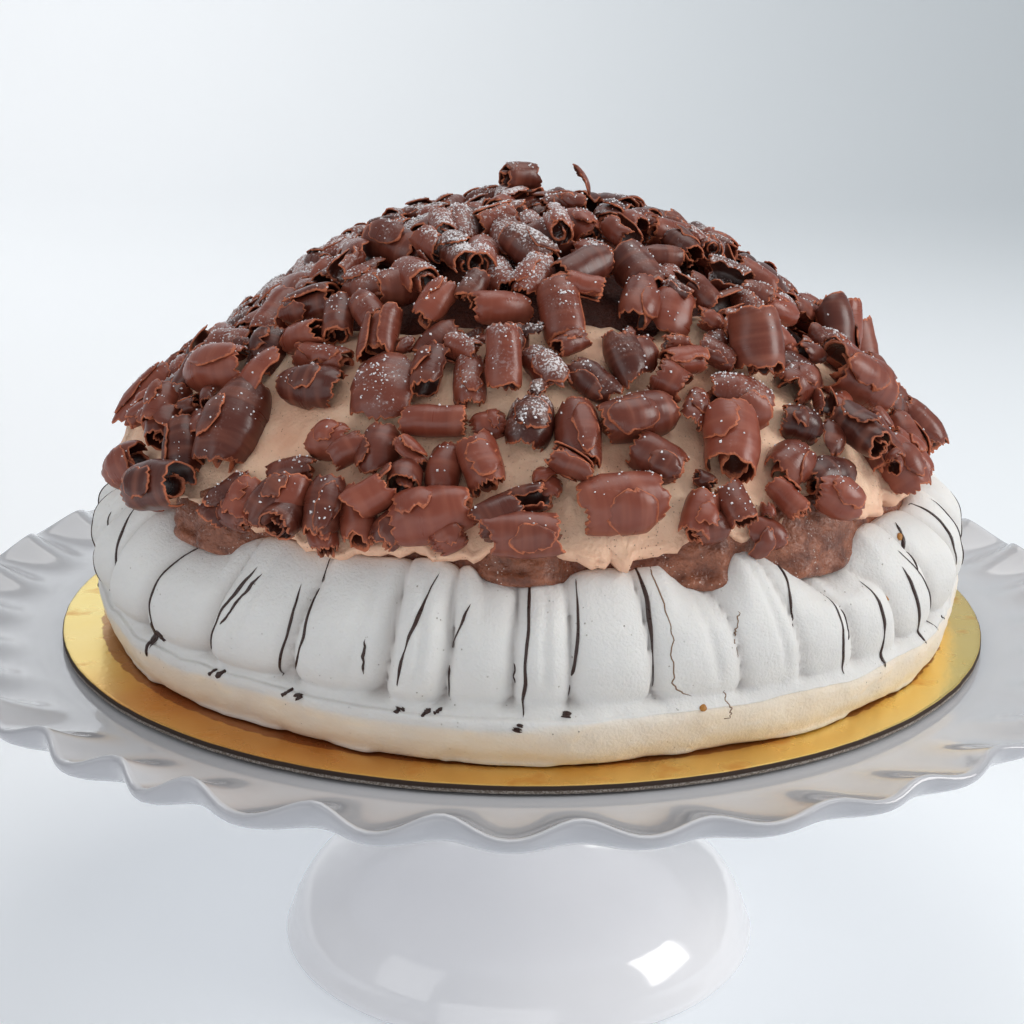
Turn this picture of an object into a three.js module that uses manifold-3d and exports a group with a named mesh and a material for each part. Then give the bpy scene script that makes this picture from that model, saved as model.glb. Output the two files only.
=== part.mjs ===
// A vacherin on its gold cake board and white ruffled cake stand.
// Millimetres, +Z up. The origin is the centre of the foot's underside; the front is towards -Y.
// Azimuths are in degrees from the front, positive towards +X.
import * as THREE from "three";
import { mergeVertices } from "three/addons/utils/BufferGeometryUtils.js";
import Module from "manifold-3d";

const wasm = await Module();
wasm.setup();

// ---------- driving dimensions ----------
const GAP = 0.3; // air between two pieces that touch
const BOARD_RADIUS = 150; // a standard 300 mm cake card
const BOARD_TOP = 120;
const BOARD_THICK = 2.7;
const WELL_Z = BOARD_TOP - BOARD_THICK - GAP; // flat well of the stand
const WELL_RADIUS = 158;
const WAVES = 36; // scoops round the rim; a multiple of four keeps the outline centred
const WAVE_STEPS = 4; // facets across one scoop
const RIM_RADIUS = 187;
const RIM_SWING = 2.5; // the rim steps out at a scoop and in at a ridge
const RIM_RISE = 5; // height of the rim above the well in a scoop
const RIDGE_RISE = 5.5; // further height on a ridge
const LIP_DEPTH = 6;
const PLATE_THICK = 8;
const FOOT_RADIUS = 80.8;
const NECK_RADIUS = 37;
const NECK_Z = 58;
const FOOT_RECESS = 3;

const BASE_RADIUS = 132; // meringue disc, at the board
const LEDGE_RADIUS = 141.5; // its wide upper edge
const LEDGE_Z = BOARD_TOP + 13;
const LOBE_RADIUS = 141.5; // widest part of a piped lobe
const CREASE_DEPTH = 6.5;
const LOBE_TOP = BOARD_TOP + 54;
const DISH_RADIUS = 117;
const DISH_Z = BOARD_TOP + 43; // floor that the filling lies on
const FILLING_TOP = BOARD_TOP + 50;

const DOME_RADIUS = 131; // chocolate mousse
const DOME_EDGE_Z = BOARD_TOP + 57;
const DOME_RISE = 74;
const HEAP_DEPTH = 10; // thickness of the heaped curls
const TOP_DEPTH = 3.5; // and in the hollow at the top, where two curls stand
const CURL_THICK = 1.5;

// Creases between the piped lobes that show at the front, then an even run round the back.
const FRONT_CREASES = [-72, -61, -50.5, -38, -26, -14.5, -8, -0.8, 5.5, 14.2, 24.8, 32.2, 40.2, 48.7, 58.7, 70];
const BACK_LOBES = 19;
const LOBE_STEPS = 4;

// Where the dark filling has run over the rim: [middle, half width].
const SPILLS = [[-44, 8], [0, 6], [22, 4.5], [39.5, 10], [101, 9], [160, 11], [-138, 8], [-92, 7]];

// Lower edge of the dense heap: [azimuth, radius].
const HEAP_EDGE = [
  [-180, 123], [-150, 117], [-125, 124], [-105, 115], [-88, 104], [-72, 101], [-60, 88], [-48, 84],
  [-30, 82], [-12, 78], [4, 76], [18, 80], [30, 84], [42, 78], [54, 86], [66, 88], [76, 104], [90, 112],
  [110, 121], [132, 124], [156, 116], [180, 123],
];

// ---------- helpers ----------
const radians = THREE.MathUtils.degToRad;
const clamp = THREE.MathUtils.clamp;

// Repeatable pseudo-random number from 0 to 1.
let seed = 7;
function random() {
  seed = (seed * 16807) % 2147483647;
  return seed / 2147483647;
}

// Point at an azimuth, radius and height.
function polar(azimuth, radius, z) {
  const a = radians(azimuth);
  return new THREE.Vector3(radius * Math.sin(a), -radius * Math.cos(a), z);
}

// Closed solid through a stack of rings, from the lowest middle outwards and round to the top middle.
// ring(azimuth) gives [radius, z]; the two middles close it.
function ringSolid(azimuths, bottomZ, rings, topZ) {
  const count = azimuths.length;
  const points = [new THREE.Vector3(0, 0, bottomZ)];
  for (const ring of rings) {
    for (const azimuth of azimuths) {
      const [radius, z] = ring(azimuth);
      points.push(polar(azimuth, radius, z));
    }
  }
  points.push(new THREE.Vector3(0, 0, topZ));
  const top = points.length - 1;
  const index = [];
  for (let i = 0; i < count; i++) {
    const j = (i + 1) % count;
    index.push(0, 1 + j, 1 + i);
    for (let k = 0; k < rings.length - 1; k++) {
      const low = 1 + k * count;
      const high = low + count;
      index.push(low + i, low + j, high + i);
      index.push(low + j, high + j, high + i);
    }
    const last = 1 + (rings.length - 1) * count;
    index.push(last + i, last + j, top);
  }
  const geometry = new THREE.BufferGeometry().setFromPoints(points);
  geometry.setIndex(index);
  return geometry;
}

function evenAzimuths(count) {
  return Array.from({ length: count }, (_, i) => (360 * i) / count - 180);
}

function toManifold(geometry) {
  const bare = geometry.clone();
  bare.deleteAttribute("normal");
  bare.deleteAttribute("uv");
  const merged = mergeVertices(bare, 1e-4);
  return new wasm.Manifold(
    new wasm.Mesh({
      numProp: 3,
      vertProperties: new Float32Array(merged.attributes.position.array),
      triVerts: new Uint32Array(merged.index.array),
    }),
  );
}

// The largest body of a boolean's result, without facets too small to see.
function toGeometry(solid) {
  const bodies = solid.decompose();
  bodies.sort((a, b) => b.volume() - a.volume());
  const mesh = bodies[0].getMesh();
  const geometry = new THREE.BufferGeometry();
  geometry.setAttribute("position", new THREE.BufferAttribute(mesh.vertProperties, 3));
  geometry.setIndex(new THREE.BufferAttribute(mesh.triVerts, 1));
  return geometry;
}

const vacherin = new THREE.Group();
vacherin.name = "vacherin";

function addPiece(name, geometry, color, roughness, metalness = 0) {
  const faceted = geometry.toNonIndexed();
  faceted.computeVertexNormals();
  const material = new THREE.MeshStandardMaterial({ color, roughness, metalness });
  const mesh = new THREE.Mesh(faceted, material);
  mesh.name = name;
  vacherin.add(mesh);
  return mesh;
}

// ---------- cake stand ----------
// 1 in the middle of a scoop, falling to a sharp 0 on each ridge.
function scoop(azimuth) {
  return Math.abs(Math.cos(radians((azimuth * WAVES) / 2)));
}

function rimRadius(azimuth) {
  return RIM_RADIUS + RIM_SWING * (2 * scoop(azimuth) - 1);
}

function rimTop(azimuth) {
  return WELL_Z + RIM_RISE + RIDGE_RISE * (1 - scoop(azimuth));
}

function flange(share) {
  return (azimuth) => [
    WELL_RADIUS + (rimRadius(azimuth) - WELL_RADIUS) * share,
    WELL_Z + (rimTop(azimuth) - WELL_Z) * share ** 1.6,
  ];
}

const plate = ringSolid(
  evenAzimuths(WAVES * WAVE_STEPS),
  WELL_Z - PLATE_THICK,
  [
    () => [148, WELL_Z - PLATE_THICK + 1],
    (a) => [rimRadius(a) - 1, rimTop(a) - LIP_DEPTH],
    (a) => [rimRadius(a), rimTop(a)],
    flange(0.5),
    () => [WELL_RADIUS, WELL_Z],
  ],
  WELL_Z,
);

// Half outline of the pedestal, from the recess under the foot up into the plate.
const pedestalOutline = [
  [0, FOOT_RECESS],
  [FOOT_RADIUS - 8, FOOT_RECESS],
  [FOOT_RADIUS - 5, 0],
  [FOOT_RADIUS, 0],
  [FOOT_RADIUS, 4],
  [78, 12],
  [69, 24],
  [48, 37],
  [NECK_RADIUS, NECK_Z],
  [NECK_RADIUS + 3, 80],
  [NECK_RADIUS + 22, WELL_Z - PLATE_THICK + 2],
  [0, WELL_Z - PLATE_THICK + 2],
].map(([r, z]) => new THREE.Vector2(r, z));
const pedestal = new THREE.LatheGeometry(pedestalOutline, 32);
pedestal.rotateX(Math.PI / 2);

addPiece("cake_stand", toGeometry(toManifold(plate).add(toManifold(pedestal))), 0xf4f4f6, 0.12);

// ---------- gold cake board ----------
const board = new THREE.CylinderGeometry(BOARD_RADIUS, BOARD_RADIUS, BOARD_THICK, 64);
board.rotateX(Math.PI / 2);
board.translate(0, 0, BOARD_TOP - BOARD_THICK / 2);
addPiece("cake_board", board, 0xc8922e, 0.3, 0.9);

// ---------- meringue shell ----------
const creases = [...FRONT_CREASES];
const backStart = FRONT_CREASES.at(-1);
const backSpan = 360 + FRONT_CREASES[0] - backStart;
for (let i = 1; i < BACK_LOBES; i++) {
  creases.push(backStart + (backSpan * (i + 0.3 * (random() - 0.5))) / BACK_LOBES);
}
creases.push(FRONT_CREASES[0] + 360);

// For every azimuth of the shell: how far it bulges (0 in a crease, 1 on a lobe) and how tall its lobe is.
const shellSteps = new Map();
for (let i = 0; i < creases.length - 1; i++) {
  const height = 3 * (random() - 0.5);
  const swell = 1.6 * (random() - 0.5);
  for (let s = 0; s < LOBE_STEPS; s++) {
    const across = s / LOBE_STEPS;
    const azimuth = creases[i] + (creases[i + 1] - creases[i]) * across;
    const bulge = Math.sqrt(1 - (2 * across - 1) ** 2);
    shellSteps.set(azimuth, { bulge, height, swell });
  }
}
const shellAzimuths = [...shellSteps.keys()];

// 1 in the middle of a place where filling has run over the rim, 0 outside.
function spill(azimuth) {
  let share = 0;
  for (const [middle, half] of SPILLS) {
    const off = Math.abs(((azimuth - middle + 540) % 360) - 180);
    share = Math.max(share, clamp(1.5 * (1 - off / half), 0, 1));
  }
  return share;
}

// The disc's edge isn't quite round.
function discWobble(azimuth) {
  const a = radians(azimuth);
  return 1.1 * Math.sin(3 * a + 1) + 0.8 * Math.sin(7 * a + 2) + 0.6 * Math.sin(13 * a);
}

// The rim is lower towards the right and where the filling runs over it.
function rimDrop(azimuth) {
  return 3 * (0.5 - 0.5 * Math.cos(radians(azimuth + 20))) + 9 * spill(azimuth);
}

// One ring of the lobes, at a radius and height, set back by a depth in the creases.
function lobeRing(radius, z, depth) {
  return (azimuth) => {
    const { bulge, swell } = shellSteps.get(azimuth);
    return [radius + swell - depth * (1 - bulge), z];
  };
}

// One ring near the lobes' tops, which aren't all of one height.
function topRing(radius, z, share) {
  return (azimuth) => {
    const { bulge, height } = shellSteps.get(azimuth);
    const lift = height - 7 * (1 - bulge) - rimDrop(azimuth);
    return [radius - 0.8 * CREASE_DEPTH * (1 - bulge), z + lift * share];
  };
}

const meringue = ringSolid(
  shellAzimuths,
  BOARD_TOP + GAP,
  [
    (a) => [BASE_RADIUS + discWobble(a), BOARD_TOP + GAP],
    (a) => [LEDGE_RADIUS + discWobble(a), LEDGE_Z],
    lobeRing(LEDGE_RADIUS - 4.5, LEDGE_Z + 3.5, 3),
    lobeRing(LOBE_RADIUS, BOARD_TOP + 28, CREASE_DEPTH),
    topRing(132.5, LOBE_TOP - 6, 0.7),
    topRing(127.5, LOBE_TOP, 1),
    () => [DISH_RADIUS, DISH_Z],
  ],
  DISH_Z,
);
addPiece("meringue_shell", meringue, 0xe9e8e6, 0.75);

// ---------- dark chocolate filling ----------

// It fills the shell's dish, and in each spill it reaches out over the lowered lobes.
const fillingRadius = (azimuth) => DISH_RADIUS - 2 + 14.5 * spill(azimuth);
const fillingRim = (azimuth) => FILLING_TOP + 5 * spill(azimuth);
const filling = ringSolid(
  evenAzimuths(60),
  DISH_Z + GAP,
  [
    () => [DISH_RADIUS - 4, DISH_Z + GAP],
    (a) => [DISH_RADIUS - 2 + 2.5 * spill(a), FILLING_TOP - 3 + 2.3 * spill(a)],
    (a) => [fillingRadius(a), FILLING_TOP - 1 + 1.6 * spill(a)],
    (a) => [fillingRadius(a) - 1, fillingRim(a)],
    () => [DISH_RADIUS - 8, FILLING_TOP],
  ],
  FILLING_TOP,
);
addPiece("chocolate_filling", filling, 0x4a2a1e, 0.6);

// ---------- mousse dome ----------
function domeZ(radius) {
  return DOME_EDGE_Z + DOME_RISE * (1 - (radius / DOME_RADIUS) ** 2);
}

// The dome, or the same shape grown by a clearance so that the heap can be cut to fit. It stands on the
// filling, and its edge lies over the lobes' tops.
const DOME_LEVELS = [1, 0.91, 0.79, 0.64, 0.45, 0.23];
const DOME_FACETS = 40;

function domeShape(grow) {
  return ringSolid(
    evenAzimuths(DOME_FACETS),
    FILLING_TOP + GAP,
    [
      () => [DISH_RADIUS - 8, FILLING_TOP + GAP],
      () => [DISH_RADIUS + 3, DOME_EDGE_Z - 1],
      () => [DOME_RADIUS - 2, DOME_EDGE_Z - 1],
      ...DOME_LEVELS.map((share) => () => [
        DOME_RADIUS * share + grow * share,
        domeZ(DOME_RADIUS * share) + grow,
      ]),
    ],
    domeZ(0) + grow,
  );
}
addPiece("mousse_dome", domeShape(0), 0xc39a80, 0.6);

// ---------- dense heap of curls ----------
function heapEdge(azimuth) {
  const i = HEAP_EDGE.findIndex(([a]) => a > azimuth);
  const [a0, r0] = HEAP_EDGE[i - 1];
  const [a1, r1] = HEAP_EDGE[i];
  return THREE.MathUtils.lerp(r0, r1, THREE.MathUtils.smoothstep(azimuth, a0, a1));
}

// Its skin is as uneven as curls lying across one another.
const HEAP_SHARES = [0.99, 0.84, 0.68, 0.5, 0.32, 0.14];
const heapAzimuths = evenAzimuths(DOME_FACETS);
const heapLumps = new Map(heapAzimuths.map((a) => [a, HEAP_SHARES.map(() => 5 * (random() - 0.5))]));
const heapOuter = HEAP_SHARES.map((share, k) => (azimuth) => {
  const radius = heapEdge(azimuth) * share;
  const depth = share < 0.2 ? TOP_DEPTH : HEAP_DEPTH + heapLumps.get(azimuth)[k];
  return [radius + 0.45 * depth * share, domeZ(radius) + (k === 0 ? 0.55 : 0.95) * depth];
});
const heapRaw = ringSolid(
  heapAzimuths,
  domeZ(0) - 12,
  [
    (a) => [heapEdge(a) * 0.5, domeZ(heapEdge(a) * 0.5) - 8],
    (a) => [heapEdge(a) * 0.97, domeZ(heapEdge(a)) - 3],
    ...heapOuter,
  ],
  domeZ(0) + TOP_DEPTH,
);
const heapSolid = toManifold(heapRaw).subtract(toManifold(domeShape(GAP + 0.05)));
addPiece("curl_heap", toGeometry(heapSolid), 0x54342b, 0.45);

// ---------- single chocolate curls ----------
// A curl is a strip that rolls up round its own axis. Each kind has a start angle and a sweep round the
// axis (90 points away from the mousse), how far it tightens, its end width and its facets.
const KINDS = {
  petal: { start: -20, sweep: 220, tighten: 0.1, ends: 0.62, points: 5, stations: 3 },
  shard: { start: 38, sweep: 104, tighten: 0, ends: 0.7, points: 5, stations: 3 },
  tube: { start: -62, sweep: 310, tighten: 0.08, ends: 0.88, points: 8, stations: 2 },
  scroll: { start: -70, sweep: 560, tighten: 0.68, ends: 0.92, points: 9, stations: 2 },
};

function curlGeometry(kind, length, width, roll) {
  const { start, sweep, tighten, ends, points, stations } = KINDS[kind];
  const radius = kind === "shard" ? width / 2 / Math.sin(radians(sweep / 2)) : width / 2;
  const outer = [];
  const inner = [];
  for (let i = 0; i < points; i++) {
    const share = i / (points - 1);
    const angle = radians(start + roll + sweep * share);
    const r = radius * (1 - tighten * share);
    outer.push(new THREE.Vector2(r * Math.cos(angle), r * Math.sin(angle)));
    inner.push(new THREE.Vector2((r - CURL_THICK) * Math.cos(angle), (r - CURL_THICK) * Math.sin(angle)));
  }
  const loop = [...outer, ...inner.reverse()];
  const vertices = [];
  for (let s = 0; s < stations; s++) {
    const along = (2 * s) / (stations - 1) - 1;
    const scale = 1 - (1 - ends) * Math.abs(along);
    for (const p of loop) {
      vertices.push(new THREE.Vector3((along * length) / 2, p.x * scale, p.y * scale));
    }
  }
  const n = loop.length;
  const index = [];
  for (let s = 0; s < stations - 1; s++) {
    for (let i = 0; i < n; i++) {
      const j = (i + 1) % n;
      const a = s * n;
      const b = a + n;
      index.push(a + i, a + j, b + j);
      index.push(a + i, b + j, b + i);
    }
  }
  const last = (stations - 1) * n;
  for (const [a, b, c] of THREE.ShapeUtils.triangulateShape(loop, [])) {
    index.push(a, c, b);
    index.push(last + a, last + b, last + c);
  }
  const geometry = new THREE.BufferGeometry().setFromPoints(vertices);
  geometry.setIndex(index);
  return geometry;
}

// Lays a curl on the mousse. heading turns its axis from sideways (0) to up the slope (90), tilt lifts
// the axis off the surface, and lift raises the whole curl when it lies on others.
function placeCurl(geometry, { azimuth, radius, heading, tilt = 0, lift = 0 }) {
  const slope = (2 * DOME_RISE * radius) / DOME_RADIUS ** 2;
  const outward = polar(azimuth, 1, 0);
  const normal = outward.clone().multiplyScalar(slope).setZ(1).normalize();
  const sideways = polar(azimuth + 90, 1, 0);
  const uphill = outward.clone().multiplyScalar(-1).setZ(slope).normalize();
  const flat = sideways.multiplyScalar(Math.cos(radians(heading)));
  flat.addScaledVector(uphill, Math.sin(radians(heading)));
  const axis = flat.multiplyScalar(Math.cos(radians(tilt)));
  axis.addScaledVector(normal, Math.sin(radians(tilt))).normalize();
  const across = normal.clone().cross(axis).normalize();
  const up = axis.clone().cross(across);
  geometry.applyMatrix4(new THREE.Matrix4().makeBasis(axis, across, up));
  const foot = polar(azimuth, radius, domeZ(radius));
  // Raise it along the normal until its lowest corner clears the mousse.
  const corner = new THREE.Vector3();
  const place = geometry.attributes.position;
  let raise = -100;
  for (let i = 0; i < place.count; i++) {
    corner.fromBufferAttribute(place, i).add(foot);
    const over = domeZ(Math.hypot(corner.x, corner.y)) - corner.z;
    raise = Math.max(raise, over / Math.hypot(1, slope));
  }
  geometry.translate(...foot.addScaledVector(normal, raise + 1.6 * GAP + lift));
  return geometry;
}

// Curls that lie loose on the mousse or stand out from the heap:
// kind, azimuth, radius, heading, tilt, length, width, roll, lift.
const CURLS = [
  ["petal", -45.5, 113, 105, 0, 29, 19, 0, 0],
  ["petal", -57, 102, 20, 0, 26, 15, 30, 0],
  ["petal", -36, 99, 7, 0, 21, 12, 0, 0],
  ["petal", -28, 111, 15, 0, 13, 10, 0, 0],
  ["petal", -20, 112, 100, 0, 15, 11, 0, 0],
  ["petal", -20, 126, 106, 0, 17, 10, 10, 0],
  ["petal", -24, 130, 122, 0, 14, 8, 0, 1],
  ["petal", -35.5, 130, 0, 0, 12, 9, 0, 2],
  ["petal", -31.5, 119, 15, 0, 15, 9, 0, 0],
  ["petal", -15, 128, 50, 0, 13, 10, 0, 1],
  ["petal", -8.5, 129, 30, 0, 10, 8, 0, 2],
  ["petal", -10.5, 115, 90, 0, 15, 9, 0, 0],
  ["petal", -9, 93, 100, 0, 18, 9, 0, 0],
  ["petal", -5, 104, 12, 0, 10, 8, 0, 0],
  ["petal", 4, 90, -60, 0, 16, 10, 0, 0],
  ["petal", 12, 93, -45, 0, 16, 9, 0, 0],
  ["petal", 1, 104, 80, 0, 16, 12, 0, 0],
  ["petal", 8, 107, 92, 0, 22, 12, 0, 0],
  ["petal", 17, 103, 10, 0, 23, 13, 0, 0],
  ["petal", 12, 122, 8, 0, 25, 17, 0, 0],
  ["petal", 18.5, 113, -40, 0, 15, 12, 0, 0],
  ["petal", 22.5, 128, 10, 0, 12, 9, 0, 1],
  ["petal", 35.5, 102, -30, 0, 19, 15, 0, 0],
  ["petal", 38, 118, 28, 0, 14, 12, 0, 0],
  ["petal", 50, 101, 10, 0, 15, 12, 0, 0],
  ["petal", 44, 110, -35, 0, 13, 11, 0, 0],
  ["petal", 42, 127, -35, 0, 15, 11, 0, 2],
  ["petal", 59, 126, -90, 0, 18, 13, 0, 1],
  ["petal", -62, 129, 40, 0, 15, 12, 0, 2],
  ["petal", -80, 118, 105, 0, 25, 11, 0, 0],
  ["petal", 79, 124, 85, 0, 18, 11, 0, 1],
  ["petal", 69, 122, 60, 0, 16, 10, 0, 0],
  ["tube", -49, 130, 18, 0, 18, 14, 0, 3],
  ["tube", -5.5, 114, -68, 0, 16, 11, 0, 0],
  ["tube", 24.5, 95, -45, 0, 11, 10, 0, 0],
  ["tube", 0, 129, 3, 0, 19, 12, 0, 2],
  ["tube", 29.5, 112, 65, 0, 20, 15, 0, 0],
  ["tube", 64, 106, -45, 0, 23, 16, 40, 0],
  ["scroll", -60, 116, 125, 0, 18, 12, 0, 0],
  ["scroll", -28.5, 129, -90, 28, 12, 11, 0, 0],
  ["scroll", -15, 119, -80, 30, 10, 10, 0, 0],
  ["scroll", -3, 90, 95, 30, 17, 11, 0, 0],
  ["scroll", -13, 105, 4, 0, 17, 10, 0, 0],
  ["scroll", 43, 92, 80, 30, 17, 16, 0, 0],
  ["scroll", 51, 117, -100, 25, 17, 12, 0, 0],
  ["shard", -23, 97, 100, 0, 24, 20, 0, 0],
  ["shard", 3, 117, -75, 0, 10, 8, 0, 0],
  ["scroll", -150, 3, 178, 0, 12, 11, 0, 4],
  ["shard", 90, 13, 100, 55, 11, 8, 0, 4],
  ["petal", 118, 128, 15, 0, 18, 12, 0, 1],
  ["tube", 168, 128, -10, 0, 19, 13, 0, 1],
  ["scroll", -135, 129, 12, 0, 16, 11, 0, 1],
  ["petal", -104, 128, 60, 0, 18, 12, 0, 0],
];

const tally = {};
for (const [kind, azimuth, radius, heading, tilt, length, width, roll, lift] of CURLS) {
  tally[kind] = (tally[kind] ?? 0) + 1;
  const name = `curl_${kind}_${String(tally[kind]).padStart(2, "0")}`;
  const geometry = curlGeometry(kind, length, width, roll);
  addPiece(name, placeCurl(geometry, { azimuth, radius, heading, tilt, lift }), 0x5b3a30, 0.42);
}

export default vacherin;
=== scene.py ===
# The looks of a vacherin: a chocolate mousse dome in a piped meringue shell, heaped with chocolate
# curls, on a gold cake board and a ruffled porcelain stand. Shapes are worked out in millimetres in the
# frame's own axes (front towards -Y, azimuths positive towards +X) and become metres in make_piece.
import itertools
import math

import bpy
import numpy as np
from mathutils import Matrix, Vector


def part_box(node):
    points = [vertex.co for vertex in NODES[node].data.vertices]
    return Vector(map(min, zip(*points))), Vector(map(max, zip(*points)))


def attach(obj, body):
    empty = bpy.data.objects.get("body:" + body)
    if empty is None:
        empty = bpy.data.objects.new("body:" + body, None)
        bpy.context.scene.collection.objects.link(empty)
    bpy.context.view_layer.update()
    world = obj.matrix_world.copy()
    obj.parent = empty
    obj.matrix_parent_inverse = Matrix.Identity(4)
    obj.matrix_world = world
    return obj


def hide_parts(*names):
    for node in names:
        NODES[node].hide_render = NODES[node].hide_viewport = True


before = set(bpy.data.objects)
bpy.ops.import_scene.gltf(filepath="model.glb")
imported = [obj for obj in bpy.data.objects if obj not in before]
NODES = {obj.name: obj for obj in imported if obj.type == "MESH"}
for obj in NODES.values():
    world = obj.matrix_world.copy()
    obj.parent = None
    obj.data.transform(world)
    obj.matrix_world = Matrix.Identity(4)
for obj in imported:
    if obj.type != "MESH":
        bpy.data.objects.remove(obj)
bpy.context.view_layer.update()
MM = 0.001
NOISE_ROUND = 100.0  # radius of the circle on which noise round the middle is read

# ---------------------------------------------------------------- numbers, noise and grids


def lattice(cells, salt):
    """A fixed random number from -1 to 1 for each whole-number cell."""
    h = cells[..., 0] * 73856093 ^ cells[..., 1] * 19349663 ^ cells[..., 2] * 83492791
    h = (h ^ (salt * 40503 + 977)) & 0xFFFFFFFF
    for shift, factor in ((15, 2246822519), (13, 3266489917), (16, 668265263)):
        h = ((h ^ (h >> shift)) * factor) & 0xFFFFFFFF
    return h / 2.0**31 - 1


def noise(points, size, salt=0):
    """Smooth noise from -1 to 1 at points in mm, with lumps about one size across."""
    scaled = np.asarray(points, float) / size
    base = np.floor(scaled).astype(np.int64)
    part = scaled - base
    part = part * part * (3 - 2 * part)
    total = np.zeros(scaled.shape[:-1])
    for corner in itertools.product((0, 1), repeat=3):
        pick = np.array(corner)
        share = np.prod(np.where(pick, part, 1 - part), axis=-1)
        total += share * lattice(base + pick, salt)
    return total


def layered(points, size, levels, salt=0):
    """Noise with finer and fainter layers on it."""
    return sum(0.5**k * noise(points, size / 2**k, salt + k) for k in range(levels))


def smooth(value, low, high):
    """0 below low, 1 above high, with a soft step between them. low may be the larger."""
    share = np.clip((value - low) / (high - low), 0, 1)
    return share * share * (3 - 2 * share)


def xyz(x, y, z):
    """Points from three coordinates, each one number or many."""
    return np.stack(np.broadcast_arrays(x, y, z), -1)


def polar(azimuth, radius, z):
    """Points at azimuths in degrees, radii and heights."""
    a = np.radians(azimuth)
    return xyz(radius * np.sin(a), -radius * np.cos(a), z)


def around(azimuth):
    """Points on a circle for noise that joins up with itself round the middle."""
    return polar(azimuth, NOISE_ROUND, 0.0)


def azimuth_of(points):
    return np.degrees(np.arctan2(points[..., 0], -points[..., 1]))


def off_by(azimuth, middle):
    """How far an azimuth is from another, from -180 to 180."""
    return (azimuth - middle + 180) % 360 - 180


def through(azimuth, table):
    """A closed smooth curve round the middle through rows of (azimuth, value)."""
    known, values = np.array(sorted(table), float).T
    known = np.concatenate([known - 360, known, known + 360])
    values = np.concatenate([values] * 3)
    i = np.clip(np.searchsorted(known, azimuth, side="right"), 1, len(known) - 1)
    t = (azimuth - known[i - 1]) / np.maximum(known[i] - known[i - 1], 1e-9)
    return values[i - 1] + (values[i] - values[i - 1]) * t * t * (3 - 2 * t)


def grids(rings, azimuths):
    """One grid for each kind of value in the rings, whose values are one number or one for each azimuth."""
    return [np.array([np.broadcast_to(v, azimuths.shape) for v in kind], float) for kind in zip(*rings)]


def grid_quads(rows, columns, closed):
    """Quads between neighbouring rows of a grid; closed joins the last column to the first."""
    r = np.arange(rows - 1)[:, None]
    c = np.arange(columns if closed else columns - 1)[None, :]
    n = (c + 1) % columns
    quads = np.stack([r * columns + c, r * columns + n, (r + 1) * columns + n, (r + 1) * columns + c], -1)
    return quads.reshape(-1, 4)


def spline(points, count, closed=False):
    """count points along a smooth curve through the given ones."""
    points = np.asarray(points, float)
    n = len(points)
    t = np.linspace(0, n if closed else n - 1, count, endpoint=not closed)
    i = np.minimum(np.floor(t).astype(int), n - 1 if closed else n - 2)
    f = (t - i)[:, None]
    pick = (lambda k: points[(i + k) % n]) if closed else (lambda k: points[np.clip(i + k, 0, n - 1)])
    a, b, c, d = pick(-1), pick(0), pick(1), pick(2)
    return 0.5 * (2 * b + (c - a) * f + (2 * a - 5 * b + 4 * c - d) * f**2 + (3 * b - a - 3 * c + d) * f**3)


def unit(vectors):
    return vectors / np.maximum(np.linalg.norm(vectors, axis=-1, keepdims=True), 1e-12)


class Shape:
    """Points, faces and per-point values that grow as solids are added, all in mm."""

    def __init__(self):
        self.points, self.faces, self.values, self.count = [], [], {}, 0

    def add(self, points, faces, **values):
        """faces is a list of arrays with three or four columns."""
        points = np.asarray(points, float).reshape(-1, 3)
        for name, value in values.items():
            size = (len(points), 3) if np.ndim(value) > 1 else (len(points),)
            self.values.setdefault(name, []).append(np.broadcast_to(value, size))
        self.faces += [np.asarray(f, int) + self.count for f in faces]
        self.points.append(points)
        self.count += len(points)
        return self


def make_piece(name, shape, surface, slot, *replaced, is_smooth=True):
    """Joins a shape into one piece of the vacherin, in metres, which may stand for nodes of the frame."""
    mesh = bpy.data.meshes.new(name)
    points = np.concatenate(shape.points) * MM
    loops = np.concatenate([f.ravel() for f in shape.faces])
    totals = np.concatenate([np.full(len(f), f.shape[1]) for f in shape.faces])
    mesh.vertices.add(len(points))
    mesh.vertices.foreach_set("co", points.astype(np.float32).ravel())
    mesh.loops.add(len(loops))
    mesh.loops.foreach_set("vertex_index", loops.astype(np.int32))
    mesh.polygons.add(len(totals))
    mesh.polygons.foreach_set("loop_start", np.concatenate([[0], np.cumsum(totals)[:-1]]).astype(np.int32))
    mesh.polygons.foreach_set("use_smooth", np.full(len(totals), is_smooth))
    for key, parts in shape.values.items():
        value = np.concatenate(parts).astype(np.float32)
        kind = "FLOAT_VECTOR" if value.ndim > 1 else "FLOAT"
        attribute = mesh.attributes.new(key, kind, "POINT")
        attribute.data.foreach_set("vector" if value.ndim > 1 else "value", value.ravel())
    mesh.update(calc_edges=True)
    mesh.materials.append(surface.material)
    piece = bpy.data.objects.new(name, mesh)
    bpy.context.scene.collection.objects.link(piece)
    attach(piece, "root")
    if replaced:
        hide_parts(*replaced)


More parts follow.
